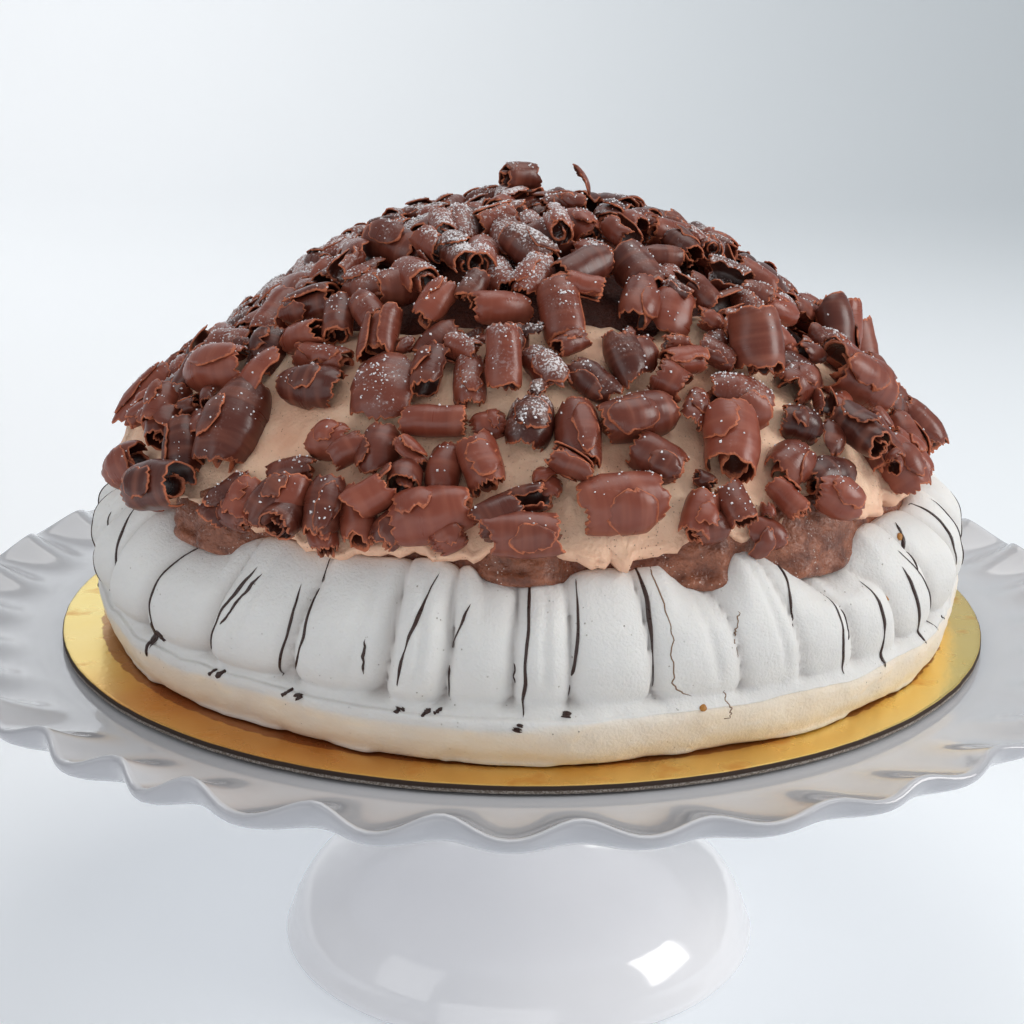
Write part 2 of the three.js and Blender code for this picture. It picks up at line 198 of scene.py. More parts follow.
def lathe(shape, azimuths, radii, heights, **values):
    """A closed skin round the middle from a grid of radii and heights, one row for each ring, from the
    bottom outwards and up to the top. Each end is closed by a point in the middle."""
    rows, columns = radii.shape
    ring = polar(azimuths, radii, heights).reshape(-1, 3)
    ends = np.array([[0, 0, heights[0].mean()], [0, 0, heights[-1].mean()]])
    n = rows * columns
    here = np.arange(columns)
    onward = (here + 1) % columns
    low = np.stack([np.full(columns, n), onward, here], 1)
    last = n - columns
    high = np.stack([np.full(columns, n + 1), last + here, last + onward], 1)
    grown = {}
    for key, value in values.items():
        flat = np.broadcast_to(value, radii.shape)
        grown[key] = np.concatenate([flat.ravel(), [flat[0].mean(), flat[-1].mean()]])
    return shape.add(np.concatenate([ring, ends]), [grid_quads(rows, columns, True), low, high], **grown)


# ---------------------------------------------------------------- shader helpers


class Value:
    """A shader socket that works in Python expressions."""

    def __init__(self, surface, socket):
        self.surface, self.socket = surface, socket

    def math(self, operation, *others):
        return self.surface.add("ShaderNodeMath", {"operation": operation}, dict(enumerate(others)))

    def __add__(self, other):
        return self.math("ADD", self, other)

    def __sub__(self, other):
        return self.math("SUBTRACT", self, other)

    def __rsub__(self, other):
        return self.math("SUBTRACT", other, self)

    def __mul__(self, other):
        return self.math("MULTIPLY", self, other)

    __radd__, __rmul__ = __add__, __mul__


class Surface:
    """A Principled material whose uneven sockets are fed by expressions."""

    def __init__(self, name, **uniform):
        self.material = bpy.data.materials.new(name)
        self.material.use_nodes = True
        self.tree = self.material.node_tree
        self.tree.nodes.clear()
        self.shader = self.tree.nodes.new("ShaderNodeBsdfPrincipled")
        output = self.tree.nodes.new("ShaderNodeOutputMaterial")
        self.tree.links.new(self.shader.outputs[0], output.inputs[0])
        self.feed(**uniform)
        self.place = self.add("ShaderNodeTexCoord", output="Object")

    def plug(self, socket, value):
        if isinstance(value, Value):
            self.tree.links.new(value.socket, socket)
        elif socket.type == "RGBA" and len(value) == 3:
            socket.default_value = (*value, 1)
        else:
            socket.default_value = value

    def feed(self, **sockets):
        """Sets the shader's own sockets: Base_Color=..., Roughness=..."""
        for name, value in sockets.items():
            self.plug(self.shader.inputs[name.replace("_", " ")], value)

    def add(self, kind, settings={}, sockets={}, output=0):
        node = self.tree.nodes.new(kind)
        for name, value in settings.items():
            setattr(node, name, value)
        for name, value in sockets.items():
            self.plug(node.inputs[name], value)
        return Value(self, node.outputs[output])

    def noise(self, size, detail=2.0, place=None):
        """Noise from 0 to 1 with lumps about size mm across."""
        sockets = {"Vector": place or self.place, "Scale": 1000 / size, "Detail": detail, "Roughness": 0.5}
        return self.add("ShaderNodeTexNoise", sockets=sockets)

    def cells(self, size, feature="F1"):
        """Distance to the nearest of scattered points about size mm apart, in sizes."""
        sockets = {"Vector": self.place, "Scale": 1000 / size}
        return self.add("ShaderNodeTexVoronoi", {"feature": feature}, sockets, "Distance")

    def step(self, value, low, high, to_low=0.0, to_high=1.0):
        """Soft step from to_low to to_high as value goes from low to high."""
        sockets = {0: value, 1: low, 2: high, 3: to_low, 4: to_high}
        return self.add("ShaderNodeMapRange", {"interpolation_type": "SMOOTHSTEP"}, sockets)

    def mix(self, share, first, second):
        return self.add("ShaderNodeMix", {"data_type": "RGBA"}, {0: share, 6: first, 7: second}, 2)

    def stretch(self, place, x, y, z):
        return self.add("ShaderNodeVectorMath", {"operation": "MULTIPLY"}, {0: place, 1: (x, y, z)})

    def attribute(self, name, output="Fac"):
        return self.add("ShaderNodeAttribute", {"attribute_name": name}, output=output)

    def upward(self):
        """How far the skin faces up, from -1 to 1."""
        normal = self.add("ShaderNodeNewGeometry", output="Normal")
        return self.add("ShaderNodeSeparateXYZ", sockets={0: normal}, output="Z")

    def bump(self, *layers):
        """Relief from pairs of height (0 to 1) and depth in mm."""
        normal = None
        for height, depth in layers:
            sockets = {"Height": height, "Distance": depth * MM, "Strength": 1.0}
            if normal:
                sockets["Normal"] = normal
            normal = self.add("ShaderNodeBump", sockets=sockets)
        self.feed(Normal=normal)


def tone(red, green, blue):
    """A colour given as display values from 0 to 255, as the shader wants it."""
    def linear(c):
        c /= 255
        return c / 12.92 if c <= 0.04045 else ((c + 0.055) / 1.055) ** 2.4
    return tuple(linear(c) for c in (red, green, blue))


# ---------------------------------------------------------------- finishes


def porcelain():
    s = Surface("porcelain", Specular_IOR_Level=0.55, Coat_Weight=0.6, Coat_Roughness=0.04)
    cloud = s.noise(40, 3)
    glaze_and_shade = s.mix(cloud, tone(232, 232, 235), tone(242, 241, 243))
    # painted shade: the plate's top, from the well outwards, is greyer, and the lip's face greyer still
    glaze_and_shade = s.mix(s.attribute("plate"), glaze_and_shade, tone(206, 208, 213))
    s.feed(Base_Color=s.mix(s.attribute("lip"), glaze_and_shade, tone(177, 178, 184)))
    s.feed(Roughness=s.step(s.noise(22, 4), 0.3, 0.8, 0.1, 0.2))
    s.bump((s.noise(14, 2), 0.12), (s.noise(0.9, 1), 0.004))
    return s


def gold_card():
    s = Surface("gold_card")
    foil = s.attribute("foil")
    wear = s.noise(30, 4)
    stain = s.step(s.noise(11, 3), 0.56, 0.74)
    emboss = s.cells(1.5, "SMOOTH_F1")
    gold = s.mix(wear, tone(255, 218, 112), tone(255, 238, 162))
    # painted shade: the foil a deeper orange at the left and the front
    gold = s.mix(s.attribute("amber") * s.step(wear, 0.2, 0.7, 0.75, 1.0), gold, tone(226, 144, 52))
    gold = s.mix(stain * 0.5, gold, tone(226, 150, 56))
    # a darker brown ring on the foil round the meringue's foot
    syrup = s.step(s.attribute("syrup") + (s.noise(5, 3) - 0.5) * 1.4, 0.5, 0.8)
    gold = s.mix(syrup * 0.75, gold, tone(150, 74, 24))
    speck = s.noise(0.5, 2)
    card = s.mix(s.step(speck, 0.42, 0.62), tone(120, 108, 98), tone(178, 170, 162))
    card = s.mix(s.attribute("dark"), card, tone(58, 44, 36))
    s.feed(Base_Color=s.mix(foil, card, gold), Metallic=foil * 0.94)
    s.feed(Roughness=s.mix(foil, (0.9, 0.9, 0.9), s.mix(stain, (0.27, 0.27, 0.27), (0.4, 0.4, 0.4))))
    s.bump((s.noise(9, 3), 0.16), (emboss, 0.05), (s.noise(0.35, 2), 0.02))
    return s


def meringue():
    s = Surface("meringue", Specular_IOR_Level=0.3, Subsurface_Weight=0.12, Subsurface_Scale=0.004)
    s.feed(Subsurface_Radius=(1.0, 0.8, 0.6))
    toasted = s.attribute("toasted")
    groove = s.attribute("groove")
    patchy = s.noise(9, 4)
    white = s.mix(s.noise(26, 3), tone(226, 225, 223), tone(240, 239, 236))
    # painted shade in the creases between the lobes
    white = s.mix(groove * 0.75, white, tone(168, 156, 150))
    baked = s.mix(patchy, tone(248, 228, 200), tone(252, 240, 222))
    colour = s.mix(toasted * s.step(patchy, 0.2, 0.62, 0.72, 1.0), white, baked)
    pore = s.step(s.cells(2.3), 0.07, 0.13, 1.0, 0.0) * s.step(s.noise(6, 2), 0.5, 0.66)
    # the pores' darker specks are painted shade in the pits
    colour = s.mix(pore * 0.6, colour, tone(132, 116, 102))
    s.feed(Base_Color=colour, Roughness=s.step(s.noise(1.2, 3), 0.3, 0.7, 0.6, 0.84))
    s.bump((s.noise(3.2, 4), 0.3), (s.noise(0.8, 3), 0.19), (1 - pore, 0.25), (s.noise(0.25, 2), 0.03))
    return s


def mousse():
    s = Surface("mousse", Specular_IOR_Level=0.35, Subsurface_Weight=0.1, Subsurface_Scale=0.003)
    s.feed(Subsurface_Radius=(1.0, 0.55, 0.35))
    hollow = s.attribute("hollow")
    colour = s.mix(s.noise(16, 4), tone(255, 208, 174), tone(255, 222, 194))
    # painted shade in the hollows of the swirls and under the rounded rim
    colour = s.mix(hollow * 0.8, colour, tone(228, 168, 136))
    # dark chocolate crumbs on the mousse under the heap, partly painted shade in the gaps between the curls
    crumbs_and_shade = s.step(s.attribute("under_heap") + (s.noise(3.5, 4) - 0.5) * 1.1, 0.42, 0.6)
    colour = s.mix(crumbs_and_shade, colour, s.mix(s.noise(1.5, 3), tone(62, 28, 20), tone(112, 58, 42)))
    bubble = s.step(s.cells(1.1), 0.08, 0.2, 1.0, 0.0) * s.step(s.noise(4, 2), 0.46, 0.6)
    # the bubbles' darker specks are painted shade in the pits
    colour = s.mix(bubble * 0.7, colour, tone(120, 82, 66))
    s.feed(Base_Color=colour, Roughness=s.step(s.noise(2, 3), 0.3, 0.7, 0.46, 0.7))
    whipped = ((s.noise(5, 4), 0.8), (s.noise(1.3, 4), 0.34), (1 - bubble, 0.3), (s.noise(0.4, 2), 0.05))
    s.bump(*whipped, (s.noise(2.0, 3) * crumbs_and_shade, 1.2))
    return s


def dark_mousse():
    s = Surface("dark_mousse", Specular_IOR_Level=0.45)
    streak = s.noise(5, 3, s.stretch(s.place, 0.75, 0.75, 1.1))
    colour = s.mix(s.step(streak, 0.25, 0.75), tone(104, 57, 40), tone(160, 100, 74))
    crumb = s.step(s.noise(1.6, 4), 0.5, 0.72)
    colour = s.mix(crumb * 0.4, colour, tone(70, 38, 30))
    sugar = s.step(s.cells(1.1), 0.12, 0.22, 1.0, 0.0) * s.step(s.noise(6, 2), 0.5, 0.62)
    colour = s.mix(sugar, colour, tone(214, 200, 192))
    s.feed(Base_Color=colour, Roughness=s.step(s.noise(1.6, 3), 0.3, 0.7, 0.22, 0.5))
    s.bump((streak, 1.8), (s.noise(1.8, 4), 0.7), (s.noise(0.6, 3), 0.15))
    return s


def chocolate():
    """Milk chocolate shavings: satin outside, coarse along a broken edge, with a dusting of sugar."""
    s = Surface("chocolate", Specular_IOR_Level=0.5)
    edge = s.attribute("edge")
    inside = s.attribute("inside")
    dusting = s.attribute("dusting")
    grain = s.attribute("grain", "Vector")
    shade = s.attribute("shade")
    ridges = s.noise(1.0, 3, s.stretch(grain, 0.05, 1.0, 1.0))
    bands = s.noise(3.4, 2, s.stretch(grain, 0.12, 1.0, 1.0))
    colour = s.mix(shade, tone(70, 30, 22), tone(142, 71, 53))
    colour = s.mix(s.step(bands, 0.42, 0.78) * 0.3, colour, tone(184, 112, 88))
    # painted shade: the inner side of every sheet much darker
    colour = s.mix(inside * 0.75, colour, tone(44, 18, 12))
    # a lighter orange-brown edge, partly the coarse broken chocolate and partly painted light showing through
    # the thin edge
    rim = s.step(edge + (s.noise(0.8, 2, grain) - 0.5) * 0.9, 0.36, 0.8)
    colour = s.mix(rim * s.step(bands, 0.3, 0.6, 0.45, 0.9), colour, tone(206, 116, 78))
    clump = s.noise(0.75, 3)
    patch = s.noise(6, 2)
    upward = s.step(s.upward(), 0.2, 0.85)
    powder = s.step(clump * 1.25 + patch * 0.6 + dusting * 0.44, 1.4, 1.48) * upward
    frost = s.step(clump * 0.9 + patch * 0.9 + dusting * 0.5, 1.16, 1.56) * upward
    colour = s.mix(frost * 0.3, colour, tone(210, 190, 184))
    colour = s.mix(powder * 0.9, colour, tone(232, 228, 230))
    s.feed(Base_Color=colour)
    s.feed(Roughness=s.step(bands + rim * 0.5 + powder, 0.3, 1.2, 0.27, 0.62))
    s.bump((ridges, 0.06), (bands, 0.1), (s.noise(0.5, 3, grain) * rim, 0.3), (powder, 0.12))
    return s


def two_tone(name, low, high, size, rough, relief):
    """A small finish of two tones mixed by noise."""
    s = Surface(name, Specular_IOR_Level=0.5)
    s.feed(Base_Color=s.mix(s.noise(size, 3), low, high))
    s.feed(Roughness=s.step(s.noise(size, 2), 0.3, 0.7, *rough))
    s.bump((s.noise(size * 0.6, 3), relief))
    return s


PORCELAIN, GOLD, MERINGUE = porcelain(), gold_card(), meringue()
MOUSSE, DARK_MOUSSE, CHOCOLATE = mousse(), dark_mousse(), chocolate()
DRIZZLE = two_tone("drizzle", tone(40, 22, 18), tone(64, 38, 31), 1.4, (0.25, 0.5), 0.12)
CRACK = two_tone("crack", tone(150, 122, 96), tone(112, 84, 66), 2.0, (0.7, 0.9), 0.05)
SUGAR = two_tone("sugar", tone(238, 238, 242), tone(250, 250, 252), 0.5, (0.4, 0.7), 0.05)
CARAMEL = two_tone("caramel", tone(150, 92, 34), tone(196, 138, 62), 1.2, (0.2, 0.4), 0.05)

# ---------------------------------------------------------------- what the frame says


def merged(name):
    """A node's points in mm, each only once, and its triangles."""
    mesh = NODES[name].data
    co = np.array([v.co for v in mesh.vertices], float) / MM
    mesh.calc_loop_triangles()
    triangles = np.array([t.vertices for t in mesh.loop_triangles], int)
    _, first, back = np.unique(np.round(co, 2), axis=0, return_index=True, return_inverse=True)
    return co[first], back.ravel()[triangles]


def size_of(name):
    low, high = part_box(name)
    return np.array(low) / MM, np.array(high) / MM


board_low, board_high = size_of("cake_board")
BOARD_LOW, BOARD_TOP = board_low[2], board_high[2]
BOARD_RADIUS = (board_high[0] - board_low[0]) / 2
dome_low, dome_high = size_of("mousse_dome")
DOME_TOP = dome_high[2]
DOME_RADIUS = (dome_high[1] - dome_low[1]) / 2
dome_points = merged("mousse_dome")[0]
dome_rim = np.hypot(dome_points[:, 0], dome_points[:, 1]) > DOME_RADIUS - 0.5
DOME_RISE = DOME_TOP - dome_points[dome_rim, 2].max()


def dome_z(radius):
    return DOME_TOP - DOME_RISE * (radius / DOME_RADIUS) ** 2


# ---------------------------------------------------------------- porcelain stand

stand_high = size_of("cake_stand")[1]
WELL_Z = BOARD_LOW - 0.3
WELL_RADIUS = 158.0
WAVES = 36
RIM_RADIUS = 187.0
RIM_SWING = stand_high[0] - RIM_RADIUS
RIM_RISE = 5.0
RIDGE_RISE = stand_high[2] - WELL_Z - RIM_RISE
LIP_DEPTH = 5.2
PLATE_THICK = 8.0
STAND_COLUMNS = WAVES * 12
# By azimuth: how tall the ridges are, which are gentler at the right, and how far a hand-made scoop has
# strayed.
RIDGE_SHARE = [(-110, 1), (-60, 0.85), (-30, 1), (0, 0.95), (12, 0.6), (30, 0.5), (60, 0.6), (110, 1)]
SCOOP_DRIFT = [(-50, 0), (-36, -0.4), (-27, -2.6), (-16, -1.5), (-5, -1.1), (6, 0), (16, 0), (27, 0.6),
               (38, -0.6), (55, -1), (80, 0)]
# (radius, height) of the pedestal, from the recess under the foot up into the plate.
PEDESTAL = [(40, 3), (68, 3), (72.6, 3), (74.2, 0.6), (76.4, 0), (79, 0.3), (80.6, 1.8), (80.7, 3.6),
            (80, 5.6), (78.8, 8.6), (77.6, 12), (74, 18.4), (69, 24), (59, 31), (48.6, 38), (41.4, 46.5),
            (37.6, 56), (36.9, 63), (37.8, 73), (41, 84), (47, 95), (55, 103.5), (66, 108)]
PEDESTAL_TOP = 70.0  # radius at which the plate's underside begins
LIP_SET = 2.6  # how far the middle of the rolled lip lies inside the rim
LIP_STEPS = 13


def make_stand():
    azimuths = np.arange(STAND_COLUMNS) * 360 / STAND_COLUMNS - 180
    drift = through(azimuths, SCOOP_DRIFT)
    wave = np.cos(np.radians((azimuths - drift) * WAVES / 2)) ** 2  # 1 in the middle of a scoop, 0 on a ridge
    wave = wave * (1.15 - 0.15 * wave)
    hand = noise(around(azimuths), 16, 3)  # no two scoops are quite alike
    ridge = (1 - wave) * through(azimuths, RIDGE_SHARE)
    rim_radius = RIM_RADIUS + RIM_SWING * (1 - 2 * ridge) + 0.5 * hand
    rim_top = WELL_Z + RIM_RISE + RIDGE_RISE * (0.08 + 0.8 * ridge) + 0.4 * hand
    lip_low = WELL_Z + RIM_RISE - LIP_DEPTH + RIDGE_RISE * (0.1 + 0.12 * ridge) + 0.3 * hand
    rings = [*spline(PEDESTAL, 66)]
    # underside of the plate, which takes up the waves towards the lip
    under = WELL_Z - PLATE_THICK
    for share in np.linspace(0.12, 1, 16):
        lift = share**2.2
        reach = PEDESTAL_TOP + (rim_radius - 6 - PEDESTAL_TOP) * share
        rings.append((reach, under + 0.2 + (lip_low - 0.8 - under) * lift))
    lip_row = len(rings)
    # the lip: a full round outer edge with a soft crest
    for turn in np.linspace(-80, 95, LIP_STEPS):
        a = math.radians(turn)
        bulge = 2.4 * math.cos(a) - 1.5 * (1 - math.sin(a))  # its face leans in towards the lower edge
        height = (rim_top + lip_low) / 2 + (rim_top - lip_low) / 2 * math.sin(a)
        rings.append((rim_radius - LIP_SET + bulge, height))
    # the flange, falling to the well as a shallow scoop between sharp ridges
    for share in np.linspace(0.93, 0, 22):
        radius = WELL_RADIUS + (rim_radius - LIP_SET - WELL_RADIUS) * share
        hollow = 0.5 * wave * math.sin(math.pi * share)
        rings.append((radius, WELL_Z + (rim_top - WELL_Z) * share**1.6 - hollow))
    for radius in (157.2, 156, 153, 148, 130, 90, 40):
        rings.append((radius, WELL_Z - 0.35 * smooth(radius, WELL_RADIUS, 152)))
    radii, heights = grids(rings, azimuths)
    rows = np.arange(len(radii))[:, None]
    lip_end = lip_row + LIP_STEPS
    # where the porcelain is painted with shade: the lip's face, and the plate's top from the well outwards
    lip = smooth(rows, lip_row - 1, lip_row + 1) * smooth(rows, lip_end - 1, lip_end - 4)
    plate = smooth(heights, WELL_Z - 6, WELL_Z - 2) * smooth(radii, 120, 150)
    stand = lathe(Shape(), azimuths, radii, heights, lip=lip, plate=plate)
    make_piece("porcelain_stand", stand, PORCELAIN, "porcelain", "cake_stand")


make_stand()

# ---------------------------------------------------------------- gold board

# By azimuth: painted shade on the foil, a deeper orange at the left and the front, paler at the right.
FOIL_SHADE_BY_AZIMUTH = [(-90, 0), (-68, 0.15), (-50, 0.8), (-25, 0.75), (0, 0.4), (16, 0.3), (35, 0.2), (60, 0.05),
         (120, 0.3), (180, 0.5), (-130, 0.3)]
FOIL_RADII = (147, 144.5, 142, 140.4, 139.2, 138.4, 137.6, 136.6, 135, 132, 126, 110)


def make_board():
    azimuths = np.arange(288) * 1.25
    top, low = BOARD_TOP, BOARD_LOW
    edge = BOARD_RADIUS + 0.12 * noise(around(azimuths), 3, 5)
    # rings of radius, height and foil: the card's grey edge, then the foil from just inside it
    rings = [(110, low, 0), (edge - 0.7, low, 0), (edge - 0.15, low + 0.3, 0), (edge, low + 0.9, 0),
             (edge, top - 1.7, 0), (edge, top - 1.3, 0), (edge - 0.05, top - 0.5, 0),
             (edge - 0.2, top - 0.25, 0), (edge - 0.5, top - 0.06, 1), (edge - 1.2, top - 0.02, 1)]
    rings += [(r, top - 0.02 + 0.05 * noise(polar(azimuths, r, 0.0), 7, 6), 1) for r in FOIL_RADII]
    radii, heights, foil = grids(rings, azimuths)
    # the darker brown ring round the meringue's foot
    syrup = smooth(radii, 139.0, 136.6)
    dark = smooth(heights, top - 1.7, top - 1.3)
    amber = through(azimuths, FOIL_SHADE_BY_AZIMUTH)
    board = lathe(Shape(), azimuths, radii, heights, foil=foil, syrup=syrup, dark=dark, amber=amber)
    make_piece("gold_board", board, GOLD, "gold_card", "cake_board")


make_board()

# ---------------------------------------------------------------- meringue shell

RINGS = ("base", "ledge", "foot", "lobe", "shoulder", "crest", "dish")  # of each column of the shell's node
CREASE_DEPTH = 6.5  # of the shell node, and its dip in the crest
CREST_DROP = 7.0
WIDEST = 141.5  # radius of the ledge's edge and of the lobes, before what is added to them
CREST_RISE = 54.0  # height of the lobes' tops above the board
MM_PER_DEGREE = 2.42  # round the lobes
LEDGE_MM_PER_DEGREE = 2.44
# By azimuth: depth of the creases; how far the shell sits to the right; the share kept of the dips for the
# filling; how far the base stands back; where the lobes run out over the ledge; how far the crests are moved
# up; and which side of a lobe is the steeper.
CREASES_BY_AZIMUTH = [(-90, 7.6), (-45, 7.4), (-20, 5.8), (5, 5.4), (22, 3.4), (50, 3.6), (75, 5.0),
                      (120, 5.6), (180, 6.0), (-135, 6.4)]
SIDE_SWELL = [(-90, -2.2), (-45, -0.9), (-12, 0), (12, 0), (45, 0.8), (90, 1.9), (135, 0.8), (180, 0),
              (-135, -0.8)]
NOTCH_DEPTH = [(-138, 0.6), (-90, 0.4), (-45, 0.25), (0, -0.15), (12, 0.4), (24, 0.7), (42, 1.0),
               (100, 0.8), (160, 0.8)]
FOOT_TUCK = [(-110, 0), (-65, 1.7), (-20, 1.5), (0, 0.6), (15, 0.9), (45, 0.9), (80, 0)]
LEDGE_FILL = [(-60, 0), (-2, 0), (9, 1.3), (20, 2.1), (60, 2.3), (90, 0.8), (180, 0.4)]
CREST_SHIFT = [(-115, 0), (-95, -3), (-68, -2.6), (-48, 0), (52, 0), (68, -1.8), (92, -2), (115, 0),
               (180, 0)]
LOBE_SKEW = [(-90, 0.6), (-35, 0.6), (-12, 0.9), (10, 1.0), (35, 1.35), (90, 1.4), (180, 1.0), (-130, 0.9)]
# (radius, height above the board) up the outside of the shell, and where each stop lies on s.
SHELL_PATH = [(135.4, 0.3), (137.0, 1.2), (139.4, 5.2), (140.8, 9.6), (141.4, 12.4), (141.1, 14.1),
              (140.0, 14.7), (138.2, 15.0), (138.6, 17.0), (140.6, 21.6), (141.7, 28), (141.2, 33),
              (139.8, 39), (136.8, 45), (133.4, 49.8), (130, 53), (126.8, 54.2), (123.4, 52.4), (119.6, 47),
              (117, 43)]
SHELL_STOPS = [0, 0.15, 0.5, 0.82, 1.0, 1.12, 1.4, 1.8, 2.05, 2.4, 2.8, 3.0, 3.2, 3.45, 3.65, 3.85, 4.05,
               4.3, 4.7, 5.0]


def shell_columns():
    """The shell node's columns: azimuths, and for each ring its radii and heights."""
    points = merged("meringue_shell")[0]
    radius = np.hypot(points[:, 0], points[:, 1])
    points, radius = points[radius > 1], radius[radius > 1]
    azimuth = azimuth_of(points)
    order = np.argsort(azimuth)
    breaks = np.nonzero(np.diff(azimuth[order]) > 0.15)[0] + 1
    found = {}
    for column in np.split(order, breaks):
        if len(column) != len(RINGS):
            continue
        rising = column[np.argsort(points[column, 2])]
        inner = column[np.argmin(radius[column])]
        rest = [i for i in rising if i != inner]
        low, high = rest[:4], sorted(rest[4:], key=lambda i: -radius[i])
        found[float(azimuth[column].mean())] = [(radius[i], points[i, 2]) for i in (*low, *high, inner)]
    keys = sorted(found)
    return np.array(keys), np.array([found[k] for k in keys]).transpose(1, 2, 0)


def lobe_position(azimuth, creases):
    """Share of the way across the lobe, from 0 to 1, the lobe's number and its width in degrees."""
    wrapped = (azimuth - creases[0]) % 360 + creases[0]
    edges = np.append(creases, creases[0] + 360)
    number = np.clip(np.searchsorted(edges, wrapped, side="right") - 1, 0, len(creases) - 1)
    width = edges[number + 1] - edges[number]
    return (wrapped - edges[number]) / width, number, width


columns, rings = shell_columns()
lobe_radius = rings[RINGS.index("lobe"), 0]
is_crease = (lobe_radius < np.roll(lobe_radius, 1) - 1.5) & (lobe_radius < np.roll(lobe_radius, -1) - 1.5)
CREASES = columns[is_crease]


def ring_curve(name, which):
    """A smooth closed curve through a ring of the shell node: its radius (0) or height (1)."""
    values = rings[RINGS.index(name), which]
    return lambda azimuth: np.interp(azimuth, columns, values, period=360)


ledge_radius = ring_curve("ledge", 0)
share, _, _ = lobe_position(columns, CREASES)
column_bulge = np.sqrt(np.clip(1 - (2 * share - 1) ** 2, 0, 1))
swell_table = lobe_radius + CREASE_DEPTH * (1 - column_bulge)
crest_table = rings[RINGS.index("crest"), 1] + CREST_DROP * (1 - column_bulge)


def of_lobe(number, salt, row=0):
    """A fixed random number from -1 to 1 for each lobe."""
    return lattice(xyz(number, row, 0), salt)


def lean(azimuth, z):
    """The piped lobes lean away from the front towards their feet, by this many degrees."""
    side = np.clip(off_by(azimuth, 0), -72, 72)
    fade = smooth(np.abs(off_by(azimuth, 0)), 118, 78)
    return 0.135 * side * fade * (30 - (z - BOARD_TOP)) / 34


def shell_point(azimuth, s):
    """Radius, height, toasting and painted shade in the creases of the shell's skin. s runs up the outside: 0
    at the board,
    1 at the ledge's edge, 2 at the lobes' feet, 3 at their widest, 4 over the crest, 5 in the dish."""
    azimuth, s = np.broadcast_arrays(np.asarray(azimuth, float), np.asarray(s, float))
    path = spline(SHELL_PATH, 251)
    steps = np.linspace(0, len(SHELL_PATH) - 1, 251)
    place = np.interp(s, SHELL_STOPS, np.arange(len(SHELL_PATH)))
    radius = np.interp(place, steps, path[:, 0])
    z = BOARD_TOP + np.interp(place, steps, path[:, 1])
    upper = smooth(s, 1.85, 2.25)
    # the disc's uneven edge
    disc = 1 - upper
    rough = layered(around(azimuth) * 1.45 + xyz(0, 0, 6 * z) * 0.2, 9, 3, 11)
    foot = noise(around(azimuth), 11, 14)
    radius = radius + disc * (ledge_radius(azimuth) - WIDEST + 0.55 * rough)
    radius = radius + 1.3 * smooth(s, 0.24, 0.1) * smooth(foot, -0.15, 0.25)
    radius = radius + through(azimuth, SIDE_SWELL) - through(azimuth, FOOT_TUCK) * smooth(s, 1.8, 0.9)
    z = z + disc * smooth(s, 0.4, 1) * 0.9 * noise(around(azimuth) * 1.4, 13, 12)
    filled = through(azimuth, LEDGE_FILL)
    radius = radius + np.exp(-(((s - 1.75) / 0.4) ** 2)) * filled
    # the lobes
    turned = azimuth - lean(azimuth, z)
    wander = 0.5 * noise(polar(turned, NOISE_ROUND, z), 17, 21)
    across, number, width = lobe_position(turned + wander, CREASES)
    middle = 2 * across ** through(azimuth, LOBE_SKEW) - 1
    half_width = width / 2 * MM_PER_DEGREE
    foot_z = BOARD_TOP + 13.8 + 1.6 * of_lobe(number, 31)
    sink = np.clip((foot_z + 0.9 * half_width - z) / (0.9 * half_width), 0, 1.2)
    dome = np.clip(1 - np.abs(middle) ** 2.4 - sink**2.6, 0, 1)
    bulge = dome**0.5
    swell = np.interp(azimuth, columns, swell_table, period=360) - WIDEST
    depth = through(azimuth, CREASES_BY_AZIMUTH) * smooth(s, 1.9, 2.2)
    depth = depth * (1 - 0.6 * smooth(s, 3.3, 4.0)) * smooth(s, 4.75, 4.2)
    depth = depth * (0.85 + 0.25 * of_lobe(number, 32, 7))
    radius = radius + upper * swell - depth * (1 - bulge)
    # a second, fainter fold on some lobes, and finger-soft unevenness
    fold = of_lobe(number, 33, 3)
    crease = 0.9 * np.exp(-(((middle - 0.5 * fold) / 0.12) ** 2)) * (fold > 0.1)
    radius = radius - upper * smooth(s, 2.2, 2.8) * crease * smooth(s, 4.4, 3.7)
    soft = noise(polar(azimuth, NOISE_ROUND, z * 0.55) * 1.4, 9, 41)
    radius = radius + upper * 0.45 * soft * smooth(s, 4.9, 4.3)
    # crests of their own height
    crest = np.interp(azimuth, columns, crest_table, period=360) - (BOARD_TOP + CREST_RISE)
    crest = crest - np.minimum(crest + 4, 0) * (1 - through(azimuth, NOTCH_DEPTH))
    lift = smooth(s, 2.9, 4.0) * smooth(s, 5.0, 4.45)
    z = z + lift * (crest + through(azimuth, CREST_SHIFT) - 2.0 * (1 - bulge) - 1.2 + 0.8 * soft)
    # painted shade down the creases, the stronger where they are deeper
    groove = np.clip(1 - bulge * 1.35, 0, 1) * smooth(s, 2.0, 2.2) * smooth(s, 4.6, 4.2)
    groove = groove * np.clip(depth / 6, 0, 1)
    # the toasted band round the disc
    band = smooth(s, 1.0 + 0.33 * filled, 0.86 + 0.07 * filled)
    band = band * (1 - 0.9 * smooth(s, 0.26, 0.12) * smooth(foot, -0.2, 0.2))
    band = band * (0.8 + 0.2 * noise(around(azimuth), 12, 15))
    band = band + 0.35 * smooth(rough, 0.1, 0.7) * smooth(s, 1.2, 0.9) * (s > 0.8)
    return radius, z, np.clip(band, 0, 1), groove


